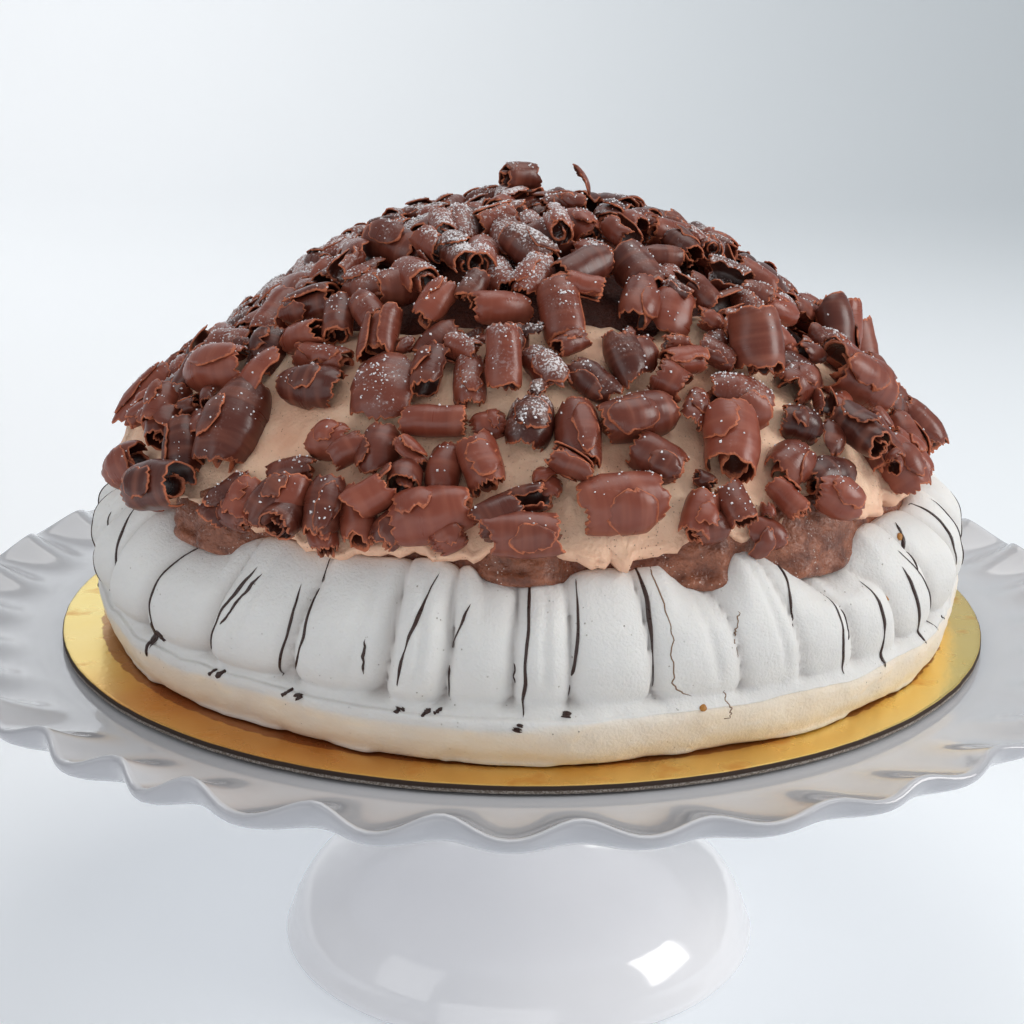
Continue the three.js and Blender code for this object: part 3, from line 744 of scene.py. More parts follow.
def make_shell():
    front = np.arange(-100, 100, 0.42)
    back = np.arange(100, 260, 0.9)
    azimuths = np.concatenate([front, back])
    runs = ((0, 1.0, 12), (1.0, 2.1, 15), (2.1, 4.3, 58), (4.3, 5, 8))
    s = np.concatenate([np.linspace(low, high, count)[:-1] for low, high, count in runs] + [[5]])
    radii, heights, toasted, groove = shell_point(azimuths[None, :], s[:, None])
    heights = np.maximum(heights, BOARD_TOP + 0.25)
    shell = lathe(Shape(), azimuths, radii, heights, toasted=toasted, groove=groove)
    make_piece("meringue_lobes", shell, MERINGUE, "meringue", "meringue_shell")


make_shell()


def on_shell(azimuth, height, lift=0.0):
    """Points on the outside of the shell at azimuths and heights above the board, and the skin's normals."""
    azimuth, height = np.atleast_1d(azimuth), np.atleast_1d(height)
    s = np.linspace(0.9, 4.05, 420)
    out, normals = [], []
    for a, h in zip(azimuth, height):
        def at(angle):
            radius, z, _, _ = shell_point(np.full(len(s), angle), s)
            i = np.argmin(np.abs(z - BOARD_TOP - h))
            j = min(max(i, 2), len(s) - 3)
            above, below = (polar(angle, radius[k], z[k]) for k in (j + 2, j - 2))
            return polar(angle, radius[i], z[i]), above - below
        here, up = at(a)
        beside = at(a + 0.3)[0] - at(a - 0.3)[0]
        normal = unit(np.cross(beside, up))
        out.append(here + lift * normal)
        normals.append(normal)
    return np.array(out), np.array(normals)


# ---------------------------------------------------------------- chocolate drizzle, cracks and drops


def strand(shape, path, normals, width, height, seed, taper=(0.2, 0.35)):
    """A flattened thread along a path: width and height in mm, thinner at both ends."""
    count = len(path)
    along = unit(np.gradient(path, axis=0))
    side = unit(np.cross(normals, along))
    t = np.linspace(0, 1, count)
    swing = 0.75 + 0.45 * noise(xyz(t * 40, seed * 7.3, 0), 6, 51)
    first, last = taper
    ends = np.minimum(smooth(t, -0.02, 0.3) * (1 - first) + first, smooth(t, 1.02, 0.8) * (1 - last) + last)
    ends = ends * np.minimum(smooth(t, -0.001, 0.04), smooth(t, 1.001, 0.96))
    size = swing * ends + 0.02
    sides = 8
    angles = np.linspace(0, 2 * np.pi, sides, endpoint=False)
    ring = side[:, None] * (np.cos(angles) * width / 2)[None, :, None] * size[:, None, None]
    ring = ring + normals[:, None] * (np.sin(angles) * height / 2)[None, :, None] * size[:, None, None]
    start = np.arange(sides)[None, :]
    faces = [grid_quads(count, sides, True), start[:, ::-1], start + (count - 1) * sides]
    shape.add(path[:, None] + ring, faces)


def drop(shape, place, normal, size, flat=0.55, seed=0):
    """A small rounded bead."""
    helper = np.array([0.3, 0.1, 1.0])
    side = unit(np.cross(helper, normal))
    up = np.cross(normal, side)
    rows, cols = 7, 12
    v = np.linspace(-np.pi / 2, np.pi / 2, rows)[:, None]
    u = np.linspace(0, 2 * np.pi, cols, endpoint=False)[None, :]
    r = size / 2 * (1 + 0.18 * noise(xyz(3 * np.cos(u) + seed, 3 * np.sin(u), 0), 2, 52))
    x, y, z = r * np.cos(v) * np.cos(u), 1.15 * r * np.cos(v) * np.sin(u), flat * r * np.sin(v)
    points = place + side * x[..., None] + up * y[..., None] + normal * z[..., None]
    shape.add(points, [grid_quads(rows, cols, True)])


# Each thread runs down the lobes: azimuths and heights above the board, then its width in mm.
THREADS = [
    ([(-61.5, 50), (-61.2, 41), (-62.2, 30), (-63, 24)], 1.3),
    ([(-44, 49), (-47.8, 40), (-49.3, 31), (-49.6, 24), (-51, 14)], 1.5),
    ([(-49.6, 24), (-51.3, 17), (-51.8, 11)], 2.2),
    ([(-32.4, 48), (-34.3, 41), (-36.7, 33), (-38.4, 22)], 1.3),
    ([(-31.6, 46.5), (-33.6, 39.5), (-36.2, 31)], 0.9),
    ([(-26.4, 45.5), (-26.9, 34), (-29.2, 17.5)], 0.9),
    ([(-23.9, 52), (-24.5, 40), (-24.9, 31), (-26.5, 21.5)], 1.1),
    ([(-17.2, 34.5), (-17.5, 24.5)], 0.9),
    ([(-9.6, 52), (-11.4, 41), (-12.7, 31.5), (-13.4, 22.5)], 1.0),
    ([(-5.7, 45), (-7.6, 33), (-7.9, 19)], 1.1),
    ([(-0.6, 41), (-0.7, 24)], 0.8),
    ([(1.0, 51), (0.6, 34), (0.2, 15)], 1.5),
    ([(6.4, 50), (6.3, 38), (5.2, 20)], 1.1),
    ([(13.6, 56), (14.3, 45), (14.8, 21)], 1.2),
    ([(33.4, 52.5), (32.2, 43), (31.6, 34)], 0.9),
    ([(37.8, 40), (38.6, 28), (40, 16)], 1.2),
    ([(39.6, 36), (39.9, 26.5)], 1.0),
    ([(44.6, 40), (46.3, 27), (47.4, 13.5)], 1.4),
    ([(51.5, 41), (53.9, 28), (57.7, 13.5)], 1.3),
    ([(52.1, 45), (57.5, 30), (62.3, 14)], 1.2),
    ([(56.4, 50), (54.9, 38)], 1.5),
    ([(66.5, 52), (69.5, 40), (73, 27)], 1.3),
    ([(70.2, 49.5), (74, 36), (77, 24)], 1.0),
]
CRACKS = [
    [(16, 56), (15.7, 48), (16.6, 36.5), (16.9, 23), (19.5, 18)],
    [(23, 19), (23.9, 12.5), (23.2, 5.5)],
    [(25, 40.5), (24.4, 34), (24.6, 28)],
]
# Splashes on the ledge: azimuth, height, length, lean to the right and width, in mm.
SPLASHES = [
    (-49.3, 17.5, 5.5, 1.6, 2.3), (-39.6, 13.4, 3.2, 2.2, 0.9), (-38.4, 13.4, 3.4, 2.2, 1.1),
    (-28.3, 13.6, 3.6, 3.2, 0.9), (-25.6, 14.0, 2.0, -0.8, 1.9), (-13.8, 14.6, 1.9, 0.8, 1.5),
    (-13.2, 14.9, 1.5, 0.5, 1.1), (-10.8, 14.4, 2.8, 2.0, 1.2), (-9.6, 14.9, 2.4, 2.2, 0.9),
    (-0.4, 12.0, 2.2, 0.3, 1.7), (-0.1, 13.4, 1.3, 0.2, 1.4), (4.9, 15.3, 1.6, 0.5, 2.2),
    (66.5, 14.5, 2.0, -1.0, 0.9),
]
CARAMEL_DOTS = [(55.6, 46.5), (48.2, 33.5), (20.5, 15)]
BACK_THREADS = (84, 92, 101, 109, 121, 128, 139, 147, 158, 166, 177, -175, -166, -153, -146, -133, -124,
                -117, -105, -96, -88, -79, -71)
PROUD = 0.1  # how far the middle of a thread or a bead lies off the meringue


def wavy(run, count, sway, size, row, salt):
    """A run of azimuths and heights drawn as a line whose azimuth sways."""
    line = spline(run, count)
    line[:, 0] += sway * noise(xyz(np.arange(float(count)), row, 0), size, salt)
    return line.T


def make_drizzle():
    rng = np.random.default_rng(11)
    threads = Shape()
    runs = list(THREADS)
    for azimuth in BACK_THREADS:
        high, slant = rng.uniform(42, 52), rng.uniform(-3, 3)
        low = rng.uniform(13, 27)
        run = [(azimuth, high), (azimuth + slant * 0.5, (high + low) / 2), (azimuth + slant, low)]
        runs.append((run, rng.uniform(0.8, 1.5)))
    for number, (run, width) in enumerate(runs):
        path, normals = on_shell(*wavy(run, 26, 0.12, 3, number * 9, 53), PROUD)
        strand(threads, path, normals, width, 0.5 * width, number)
    for number, (azimuth, height, length, slant, width) in enumerate(SPLASHES):
        share = np.linspace(0, 1, 14)
        reach = azimuth + share * slant / LEDGE_MM_PER_DEGREE
        path, normals = on_shell(reach, height + share * length * 0.6, PROUD)
        strand(threads, path, normals, 1.5 * width, 0.6 * width, number + 60, (0.8, 0.6))
    for number in range(26):
        place, normal = on_shell(rng.uniform(75, 285), rng.uniform(12, 18), PROUD)
        drop(threads, place[0], normal[0], rng.uniform(0.9, 2.1), seed=number + 40)
    make_piece("chocolate_drizzle", threads, DRIZZLE, "chocolate")
    cracks = Shape()
    for number, run in enumerate(CRACKS):
        path, normals = on_shell(*wavy(run, 60, 0.28, 2.2, number * 5, 54))
        strand(cracks, path, normals, 0.42, 0.16, number, (0.6, 0.4))
    make_piece("meringue_cracks", cracks, CRACK, "meringue")
    dots = Shape()
    for number, (azimuth, height) in enumerate(CARAMEL_DOTS):
        place, normal = on_shell(azimuth, height, PROUD)
        drop(dots, place[0], normal[0], 2.0, 0.4, number)
    make_piece("caramel_beads", dots, CARAMEL, "meringue")


make_drizzle()

# ---------------------------------------------------------------- filling and mousse


def ring_reach(name, low, high, count=72):
    """A node's reach by azimuth between two heights: rows of (azimuth, radius)."""
    points = merged(name)[0]
    radius, azimuth = np.hypot(points[:, 0], points[:, 1]), azimuth_of(points)
    keep = (points[:, 2] > low) & (points[:, 2] < high) & (radius > 5)
    rows = []
    for middle in np.arange(count) * 360 / count - 180:
        near = keep & (np.abs(off_by(azimuth, middle)) < 180 / count + 0.01)
        if near.any():
            rows.append((middle, radius[near].max()))
    return rows


filling_low, filling_high = size_of("chocolate_filling")
FILLING_REACH = ring_reach("chocolate_filling", filling_low[2], filling_high[2] + 1, 60)
SPILL_START = min(r for _, r in FILLING_REACH)
SPILL_LENGTH = 14.5  # how much further the node reaches in the middle of a spill
TUFT = 9  # azimuth at the front where the mousse's rim is bare and crumbly


def spill_share(azimuth):
    return np.clip((through(azimuth, FILLING_REACH) - SPILL_START) / SPILL_LENGTH, 0, 1)


def hump(azimuth, middle, width):
    """A soft hump round an azimuth: 1 in its middle."""
    return np.exp(-((off_by(azimuth, middle) / width) ** 2))


def mousse_edge(azimuth):
    """Radius of the mousse's rim, drawn back where the filling runs over."""
    ragged = layered(around(azimuth) * 1.3, 8, 3, 76)
    crumbly = layered(around(azimuth) * 1.3, 3, 2, 78) * (0.5 + 0.8 * hump(azimuth, TUFT, 8))
    bare = hump(azimuth, TUFT, 8) + hump(azimuth, -22, 6)
    side = 1.6 * smooth(off_by(azimuth, -90), 40, 0) * smooth(off_by(azimuth, -90), -60, 0)
    return DOME_RADIUS - 1.8 + 0.9 * bare + 1.5 * ragged + crumbly - side - 3 * spill_share(azimuth) ** 1.6


def make_filling():
    azimuths = np.arange(400) * 0.9 - 180
    ragged = layered(around(azimuths) * 1.3, 5, 3, 61)
    wide = spill_share(azimuths) ** 0.55
    reach = SPILL_START + 11 + wide * (6.4 + 1.1 * ragged)
    lip = BOARD_TOP + 44.4 + 5.5 * (1 - through(azimuths, NOTCH_DEPTH)) + 0.7 * ragged
    join = mousse_edge(azimuths) - 3
    under = dome_z(join) - 1.0
    rings = [(108, filling_low[2] + 1), (reach - 9, lip - 2.6), (reach - 3, lip - 2.4)]
    rounding = 1.9  # of the lip
    for a in np.radians((-60, -30, 0, 30, 55)):
        rings.append((reach - rounding + rounding * math.cos(a), lip + rounding * math.sin(a)))
    for share in np.linspace(0.06, 1, 16):
        radius = reach - 0.8 + (np.minimum(join, reach - 2) - reach + 0.8) * share
        height = lip + 1.6 + (under - lip - 1.6) * (1 - (1 - share) ** 1.5)
        crumbly = layered(polar(azimuths, radius, height), 4.5, 3, 62)
        crumbly = crumbly + 1.6 * noise(polar(azimuths, radius, 0.3 * height), 9, 64)
        rough = 0.7 * crumbly * (share < 0.9)
        rings.append((radius + rough, height + rough))
    rings.append((100, under - 3))
    filling = lathe(Shape(), azimuths, *grids(rings, azimuths))
    make_piece("dark_filling", filling, DARK_MOUSSE, "dark_mousse", "chocolate_filling")


make_filling()

CURL_NODES = sorted(name for name in NODES if name.startswith("curl_") and name != "curl_heap")
HEAP_INSET = 4.5  # the real curls reach out from the heap's edge by about this much
HEAP_EDGE = [(a, r - HEAP_INSET) for a, r in ring_reach("curl_heap", 0, 1000, 40)]


def curl_feet():
    """Plan centres and half lengths of the single curls."""
    rows = []
    for name in CURL_NODES:
        low, high = size_of(name)
        rows.append([*(low + high)[:2] / 2, np.linalg.norm((high - low)[:2]) / 2])
    return np.array(rows)


FEET = curl_feet()


def core_sink(azimuth, radius):
    """How far the mousse lies below its dome where the heap hides it."""
    deep = 8 + 4 * smooth(np.abs(off_by(azimuth, -112)), 75, 25)
    return deep * smooth(through(azimuth, HEAP_EDGE) - radius, 0, 14)


def mousse_skin(x, y):
    """Height of the mousse over a plan point, how much painted shade its hollows take there, and how deep
    under the heap.
    """
    radius = np.hypot(x, y)
    flat = xyz(x, y, 0)
    azimuth = azimuth_of(flat)
    swirl = xyz(radius, azimuth * radius / 57.3 * 0.35, 0)
    marks = 0.9 * noise(swirl, 12, 71) + 0.5 * noise(swirl, 5, 72) + 1.1 * layered(flat, 26, 3, 73)
    rough = 0.45 * layered(flat, 3.2, 3, 74)
    tuft = hump(azimuth, TUFT, 5.5) * smooth(radius, 116, 125) + 0.35 * smooth(radius, 120, 128)
    lumps = tuft * (1.8 + 3.8 * layered(flat, 4.0, 4, 75))
    z = dome_z(np.minimum(radius, DOME_RADIUS)) + marks + rough + np.maximum(lumps, -0.3) + 0.3
    near = np.min(np.hypot(x[..., None] - FEET[:, 0], y[..., None] - FEET[:, 1]) / FEET[:, 2], axis=-1)
    z = z + 0.8 * smooth(near, 1.1, 0.7) - core_sink(azimuth, radius)
    # painted shade where the swirl marks and the roughness dip
    hollow = np.clip(-0.4 * marks - 0.5 * rough, 0, 0.9)
    return z, hollow, smooth(core_sink(azimuth, radius), 2.0, 5.5)


def make_mousse():
    azimuths = np.arange(440) * (360 / 440) - 180
    edge = mousse_edge(azimuths)
    rim = dome_z(edge)
    half = 2.2 - 1.2 * spill_share(azimuths)  # of the rounded rim's height
    bead = 2.4  # how far the rim is rounded
    # rings of radius, height, painted shade in the hollows, and bed
    rings = [(106, dome_low[2], 0.3, 0), (112, dome_low[2], 0.3, 0), (edge - 11, rim - 6, 0.3, 0)]
    for turn in np.linspace(-70, 60, 8):
        a = math.radians(turn)
        lump = 1.1 * layered(xyz(*(around(azimuths)[:, :2] * 1.3).T, turn / 9), 4, 3, 77)
        height = rim - half + half * math.sin(a)
        # the painted shade grows towards the underside of the rim
        rings.append((edge - bead + (bead + lump) * math.cos(a), height, 0.5 - turn / 200, 0))
    for share in (0.97, 0.955, *np.linspace(0.94, 0.02, 56)):
        radius = edge * share
        rings.append((radius, *mousse_skin(*polar(azimuths, radius, 0.0).T[:2])))
    radii, heights, hollow, bed = grids(rings, azimuths)
    dome = lathe(Shape(), azimuths, radii, heights, hollow=hollow, under_heap=bed)
    make_piece("mousse_swirl", dome, MOUSSE, "mousse", "mousse_dome")


make_mousse()

# ---------------------------------------------------------------- chocolate curls

SHEET = 0.95  # thickness of a shaving
EDGE_DEPTH = 0.55  # how far its coarse edge reaches in
# How each kind is cut: steps round its roll and along its axis, how much shorter it is at both ends of
# its roll, how rough its broken edges are, and the chance of an inner roll and of an overlapping flap.
CUTS = {
    "petal": dict(steps=(28, 9), narrow=0.3, rough=1.6, inner=0.6, flap=0.75),
    "tube": dict(steps=(32, 8), narrow=0.12, rough=1.5, inner=0.6, flap=0.5),
    "scroll": dict(steps=(42, 7), narrow=0.1, rough=1.5, inner=0.0, flap=0.35),
    "shard": dict(steps=(12, 10), narrow=0.3, rough=1.6, inner=0.0, flap=0.35),
    "chip": dict(steps=(5, 4), narrow=0.3, rough=0.5, inner=0.0, flap=0.0),
}
# Usual roll of a curl that isn't one of the single ones: start angle, sweep, tightening, end width.
ROLLS = {
    "petal": ((-130, 60), (210, 370), (0.08, 0.24), (0.56, 0.84)),
    "tube": ((-90, 200), (290, 345), (0.04, 0.14), (0.8, 0.95)),
    "scroll": ((-120, 120), (460, 640), (0.55, 0.68), (0.8, 0.94)),
    "shard": ((38, 52), (70, 110), (0.0, 0.1), (0.6, 0.85)),
    "chip": ((30, 60), (50, 120), (0.0, 0.2), (0.6, 0.9)),
}


def uneven(rng, count, every):
    """A soft random run from 0 to 1 over count points, changing every few."""
    knots = rng.random(max(4, count // every + 3))
    return np.interp(np.linspace(0, len(knots) - 1, count), np.arange(len(knots)), knots)


def broken(rng, count):
    """Depth of a broken edge: waves with teeth on them."""
    teeth = rng.random(count) ** 2.2
    return 0.95 * teeth + 1.5 * uneven(rng, count, 7) ** 2


def rolled_sheet(rng, length, radius, roll, steps, narrow, rough, slide=0.0, shift=0.0):
    """One thin sheet rolled round the x axis. roll is its start angle, sweep, tightening and end width.
    Gives its points, faces and values for a Shape."""
    start, sweep, tighten, ends = roll
    rows, columns = steps[0] + 1, steps[1] + 1
    u = np.linspace(0, 1, rows)
    u = 0.82 * u + 0.18 * (0.5 - 0.5 * np.cos(np.pi * u))
    v = np.linspace(-1, 1, columns)
    v = 0.7 * np.sin(v * np.pi / 2) + 0.3 * v
    arc = radius * math.radians(sweep) * (1 - tighten / 2)
    half = length / 2
    outline = 1 - narrow * np.abs(2 * u - 1) ** 2.6
    low = outline - rough * broken(rng, rows) / half
    high = outline - rough * broken(rng, rows) / half
    kept = np.where(v[None, :] < 0, np.maximum(low, 0.2)[:, None], np.maximum(high, 0.2)[:, None])
    x = v[None, :] * half * kept
    first = 0.7 * rough * broken(rng, columns) / arc
    last = 1 - rough * broken(rng, columns) / arc
    turn = first[None, :] + (last - first)[None, :] * u[:, None]
    angle = np.radians(start + sweep * turn)
    barrel = ends + (1 - ends) * (1 - np.abs(x / half) ** 2.2)
    wander = xyz(x + 50 * rng.random(), turn * arc, 0)
    r = radius * (1 - tighten * turn) * barrel + 0.5 * noise(wander, 6, 81) + 0.14 * noise(wander, 1.7, 82)
    x = x + slide * (turn - 0.5) * length + shift
    points = xyz(x, r * np.cos(angle), r * np.sin(angle))
    normals = unit(np.cross(np.gradient(points, axis=0), np.gradient(points, axis=1)))
    reach = np.minimum(np.minimum(u, 1 - u)[:, None] * arc, (1 - np.abs(v))[None, :] * half)
    thick = SHEET * (0.4 + 0.6 * smooth(reach, 0, 1.6))[..., None]
    n = rows * columns
    index = np.arange(n).reshape(rows, columns)
    border = np.concatenate([index[0, :-1], index[:-1, -1], index[-1, :0:-1], index[:0:-1, 0]])
    onward = np.roll(border, -1)
    quads = grid_quads(rows, columns, False)
    faces = [quads[:, ::-1], quads + n, np.stack([border, onward, onward + n, border + n], 1)]
    both = np.concatenate([(points + side * normals * thick / 2).reshape(-1, 3) for side in (1, -1)])
    edge = np.exp(-reach / EDGE_DEPTH).ravel()
    grain = xyz(turn * arc, x, 90 * rng.random()).reshape(-1, 3) * MM
    values = dict(edge=np.tile(edge, 2), inside=np.repeat([0.0, 1.0], n), grain=np.tile(grain, (2, 1)))
    return both, faces, values


def build_curl(rng, kind, length, radius, roll, plain_cut=False, finer=1.0, flaps=True):
    """The sheets of one curl about its own axis, along x: its skin, perhaps an inner roll, perhaps a flap."""
    cut = CUTS[kind]
    start, sweep, _, ends = roll
    rough = cut["rough"]
    steps = [round(n * finer) for n in cut["steps"]]
    if plain_cut:
        steps = [max(fewest, int(n * 0.6)) for n, fewest in zip(steps, (5, 4))]
    slide = rng.uniform(-0.18, 0.18) if kind in ("tube", "scroll") else rng.uniform(-0.06, 0.06)
    sheets = [rolled_sheet(rng, length, radius, roll, steps, cut["narrow"], rough, slide)]
    if rng.random() < cut["inner"] and radius > 3.2 and not plain_cut:
        inner, size = radius * rng.uniform(0.55, 0.7), rng.uniform(0.75, 0.98)
        inner_roll = (start + rng.uniform(60, 200), rng.uniform(250, 420), rng.uniform(0.25, 0.5), 0.85)
        shift = rng.uniform(-0.05, 0.05) * length
        sheets.append(rolled_sheet(rng, length * size, inner, inner_roll, (16, 4), 0.15, rough, 0.1, shift))
    if rng.random() < cut["flap"] and flaps and not plain_cut:
        where = start + rng.uniform(0.1, 0.5) * sweep
        size = rng.uniform(0.5, 0.85)
        flap_roll = (where, rng.uniform(60, 120), rng.uniform(-0.03, 0.02), (ends + 1) / 2)
        shift = rng.uniform(-0.5, 0.5) * (1 - size) * length
        over = radius + 0.75  # the flap lies on the curl's outer side
        sheets.append(rolled_sheet(rng, length * size, over, flap_roll, (10, 6), 0.5, 1.2, shift=shift))
    return sheets


NODE_SHEET_MIDDLE = 0.45  # how far the middle of a node's sheet lies inside its outer side


def curl_pose(name):
    """Reads a single curl from its node: kind, axes, middle, length, radius, start, sweep, tightening and
    end width."""
    points, triangles = merged(name)
    corners = points[triangles]
    normals = unit(np.cross(corners[:, 1] - corners[:, 0], corners[:, 2] - corners[:, 0]))
    for axis in normals:
        height = points @ axis
        order = np.argsort(height)
        groups = np.split(order, np.nonzero(np.diff(height[order]) > 0.3)[0] + 1)
        sizes = {len(g) for g in groups}
        if len(groups) in (2, 3) and len(sizes) == 1 and all(np.ptp(height[g]) < 0.06 for g in groups):
            break
    else:
        raise ValueError(name + " has no rolled section")
    level = np.zeros(len(points), int)
    for k, group in enumerate(groups):
        level[group] = k
    beside = {i: set() for i in range(len(points))}
    for a, b, c in triangles:
        if len({level[a], level[b], level[c]}) == 2:
            for i, j in ((a, b), (b, c), (c, a)):
                if level[i] == level[j]:
                    beside[i].add(j)
                    beside[j].add(i)
    e1 = unit(np.cross(axis, [0.3, 0.2, 1.0]))
    e2 = np.cross(axis, e1)
    found = []
    for group in groups:
        loop = [group[0]]
        while len(loop) < len(group):
            loop.append(next(i for i in beside[loop[-1]] if i not in loop))
        flat = np.stack([points[loop] @ e1, points[loop] @ e2], 1)
        half = len(loop) // 2
        lengths = np.linalg.norm(flat - np.roll(flat, -1, 0), axis=1)
        k = min(range(half), key=lambda i: max(lengths[i], lengths[i + half]))
        flat = np.roll(flat, -(k + 1), 0)
        one, two = flat[:half], flat[half:][::-1]
        spread = lambda line: np.linalg.norm(np.diff(line, axis=0), axis=1).sum()
        outer, inner = (one, two) if spread(one) > spread(two) else (two, one)
        # the radial lines from inner to outer meet on the axis
        d = unit(outer - inner)
        across = np.stack([-d[:, 1], d[:, 0]], 1)
        centre = np.linalg.lstsq(across, (across * outer).sum(1), rcond=None)[0]
        r = np.linalg.norm(outer - centre, axis=1)
        if r[0] < r[-1]:
            outer, r = outer[::-1], r[::-1]
        angle = np.unwrap(np.arctan2(outer[:, 1] - centre[1], outer[:, 0] - centre[0]))
        found.append((centre, r, np.degrees(angle)))
    low, high = ((points[g] @ axis).mean() for g in (groups[0], groups[-1]))
    centre = np.mean([f[0] for f in found], 0)
    _, r, angle = found[len(found) // 2]
    r_end = found[0][1][0]
    ends = r_end / r[0] if len(groups) == 3 else None
    start, sweep = angle[0], angle[-1] - angle[0]
    middle = axis * ((high + low) / 2) + e1 * centre[0] + e2 * centre[1]
    if sweep < 0:
        axis, e2 = -axis, -e2
        # angles are turned the other way round with the second axis
        start, sweep = -start, -sweep
    axes, kind = np.stack([axis, e1, e2], 1), name.split("_")[1]
    return dict(kind=kind, axes=axes, middle=middle, length=high - low, radius=r[0] - NODE_SHEET_MIDDLE,
                start=start, sweep=sweep, tighten=1 - r[-1] / r[0], ends=ends)


# A map of how high things lie over each plan point, square cell by square cell.
CELL = 2.0
FIELD = 170  # cells along each side
field_line = (np.arange(FIELD) - FIELD / 2 + 0.5) * CELL
field_x, field_y = np.meshgrid(field_line, field_line, indexing="ij")
field_radius = np.hypot(field_x, field_y)
field_azimuth = np.degrees(np.arctan2(field_x, -field_y))
field = dome_z(np.minimum(field_radius, 140)) - core_sink(field_azimuth, field_radius)
COVERED = field + 2 + 0.9 * core_sink(field_azimuth, field_radius)  # what lies higher hides the mousse


def field_cells(points):
    return tuple(np.clip(((points[:, k] / CELL) + FIELD / 2).astype(int), 0, FIELD - 1) for k in (0, 1))


def settle(points, share):
    """How far to raise points so that all but a share of them clear what already lies there."""
    return -np.quantile(points[:, 2] - field[field_cells(points)], share)


def deposit(points):
    np.maximum.at(field, field_cells(points), points[:, 2])


SHAPES = {kind: Shape() for kind in CUTS if kind != "chip"}
HEAP_SHAPES = {kind: Shape() for kind in [*CUTS, "petal_back"]}
HEAPED = []  # curls of the heap: where each belongs, the seed of its shade, its sheets, axes and middle
TOPS = []  # pieces of upward skin that sugar can lie on


def lay_curl(shape, rng, sheets, axes, middle, dusting, shade):
    """Adds a curl's sheets in place and remembers where sugar can lie on it."""
    for points, faces, values in sheets:
        placed = middle + points @ axes.T
        own_shade = np.clip(shade + rng.uniform(-0.1, 0.1), 0, 1)
        shape.add(placed, faces, dusting=dusting, shade=own_shade, **values)
        corners = placed[faces[0]]
        normal = unit(np.cross(corners[:, 2] - corners[:, 0], corners[:, 3] - corners[:, 1]))
        up = normal[:, 2] > 0.35
        TOPS.append((corners[up], normal[up], np.full(up.sum(), dusting)))


def dust_at(x, y):
    """How much sugar fell on a plan point: more towards the top and the back, in patches."""
    radius, azimuth = np.hypot(x, y), math.degrees(math.atan2(x, -y))
    high = 1 - smooth(radius, 70, 128)
    patch = noise(np.array([x, y, 0.0]), 34, 91)
    return float(np.clip(0.25 + 0.8 * high + 0.35 * patch + 0.12 * (abs(azimuth) > 90), 0, 1))


TOP_ROUND = 22  # the curls that stand within this radius of the top have no flap


def make_single_curls():
    for number, name in enumerate(CURL_NODES):
        rng = np.random.default_rng(200 + number)
        pose = curl_pose(name)
        kind, middle, axes = pose["kind"], pose["middle"], pose["axes"]
        # a little larger than the faceted node, the small ones the more so
        length = pose["length"] * (1.12 if pose["length"] < 20 else 1.05)
        radius = pose["radius"] * (1.0 if pose["ends"] else 1.08) * (1.14 if pose["radius"] < 7 else 1.04)
        ends = pose["ends"] or {"tube": 0.86, "scroll": 0.9}[kind]
        sweep = pose["sweep"] + (rng.uniform(0, 60) if kind == "petal" else 0)
        roll = (pose["start"], sweep, pose["tighten"], ends)
        flaps = np.hypot(*middle[:2]) > TOP_ROUND
        sheets = build_curl(rng, kind, length, radius, roll, finer=1.22, flaps=flaps)
        dusting = dust_at(*middle[:2]) * rng.uniform(0.3, 1.1)
        lay_curl(SHAPES[kind], rng, sheets, axes, middle, dusting, rng.random())
        for points, _, _ in sheets:
            deposit(middle + points @ axes.T)


make_single_curls()


def curl_axes(azimuth, radius, heading, tilt):
    """Axes of a curl that lies on the dome: heading turns it from sideways (0) to up the slope (90)."""
    slope = 2 * DOME_RISE * radius / DOME_RADIUS**2
    outward = polar(azimuth, 1.0, 0.0)
    normal = unit(outward * slope + np.array([0, 0, 1.0]))
    sideways = polar(azimuth + 90, 1.0, 0.0)
    uphill = unit(np.array([0, 0, slope]) - outward)
    h, t = math.radians(heading), math.radians(tilt)
    axis = unit((sideways * math.cos(h) + uphill * math.sin(h)) * math.cos(t) + normal * math.sin(t))
    across = unit(np.cross(normal, axis))
    return np.stack([axis, across, np.cross(axis, across)], 1)


FAR_SIDE = 98  # azimuth beyond which the heap's curls need less detail
OUTLINE = (68, 122)  # azimuths, at either side, between which a curl that leans out breaks the outline
LEFT_REACH, RIGHT_REACH = 129, 131  # how far out it may lean there


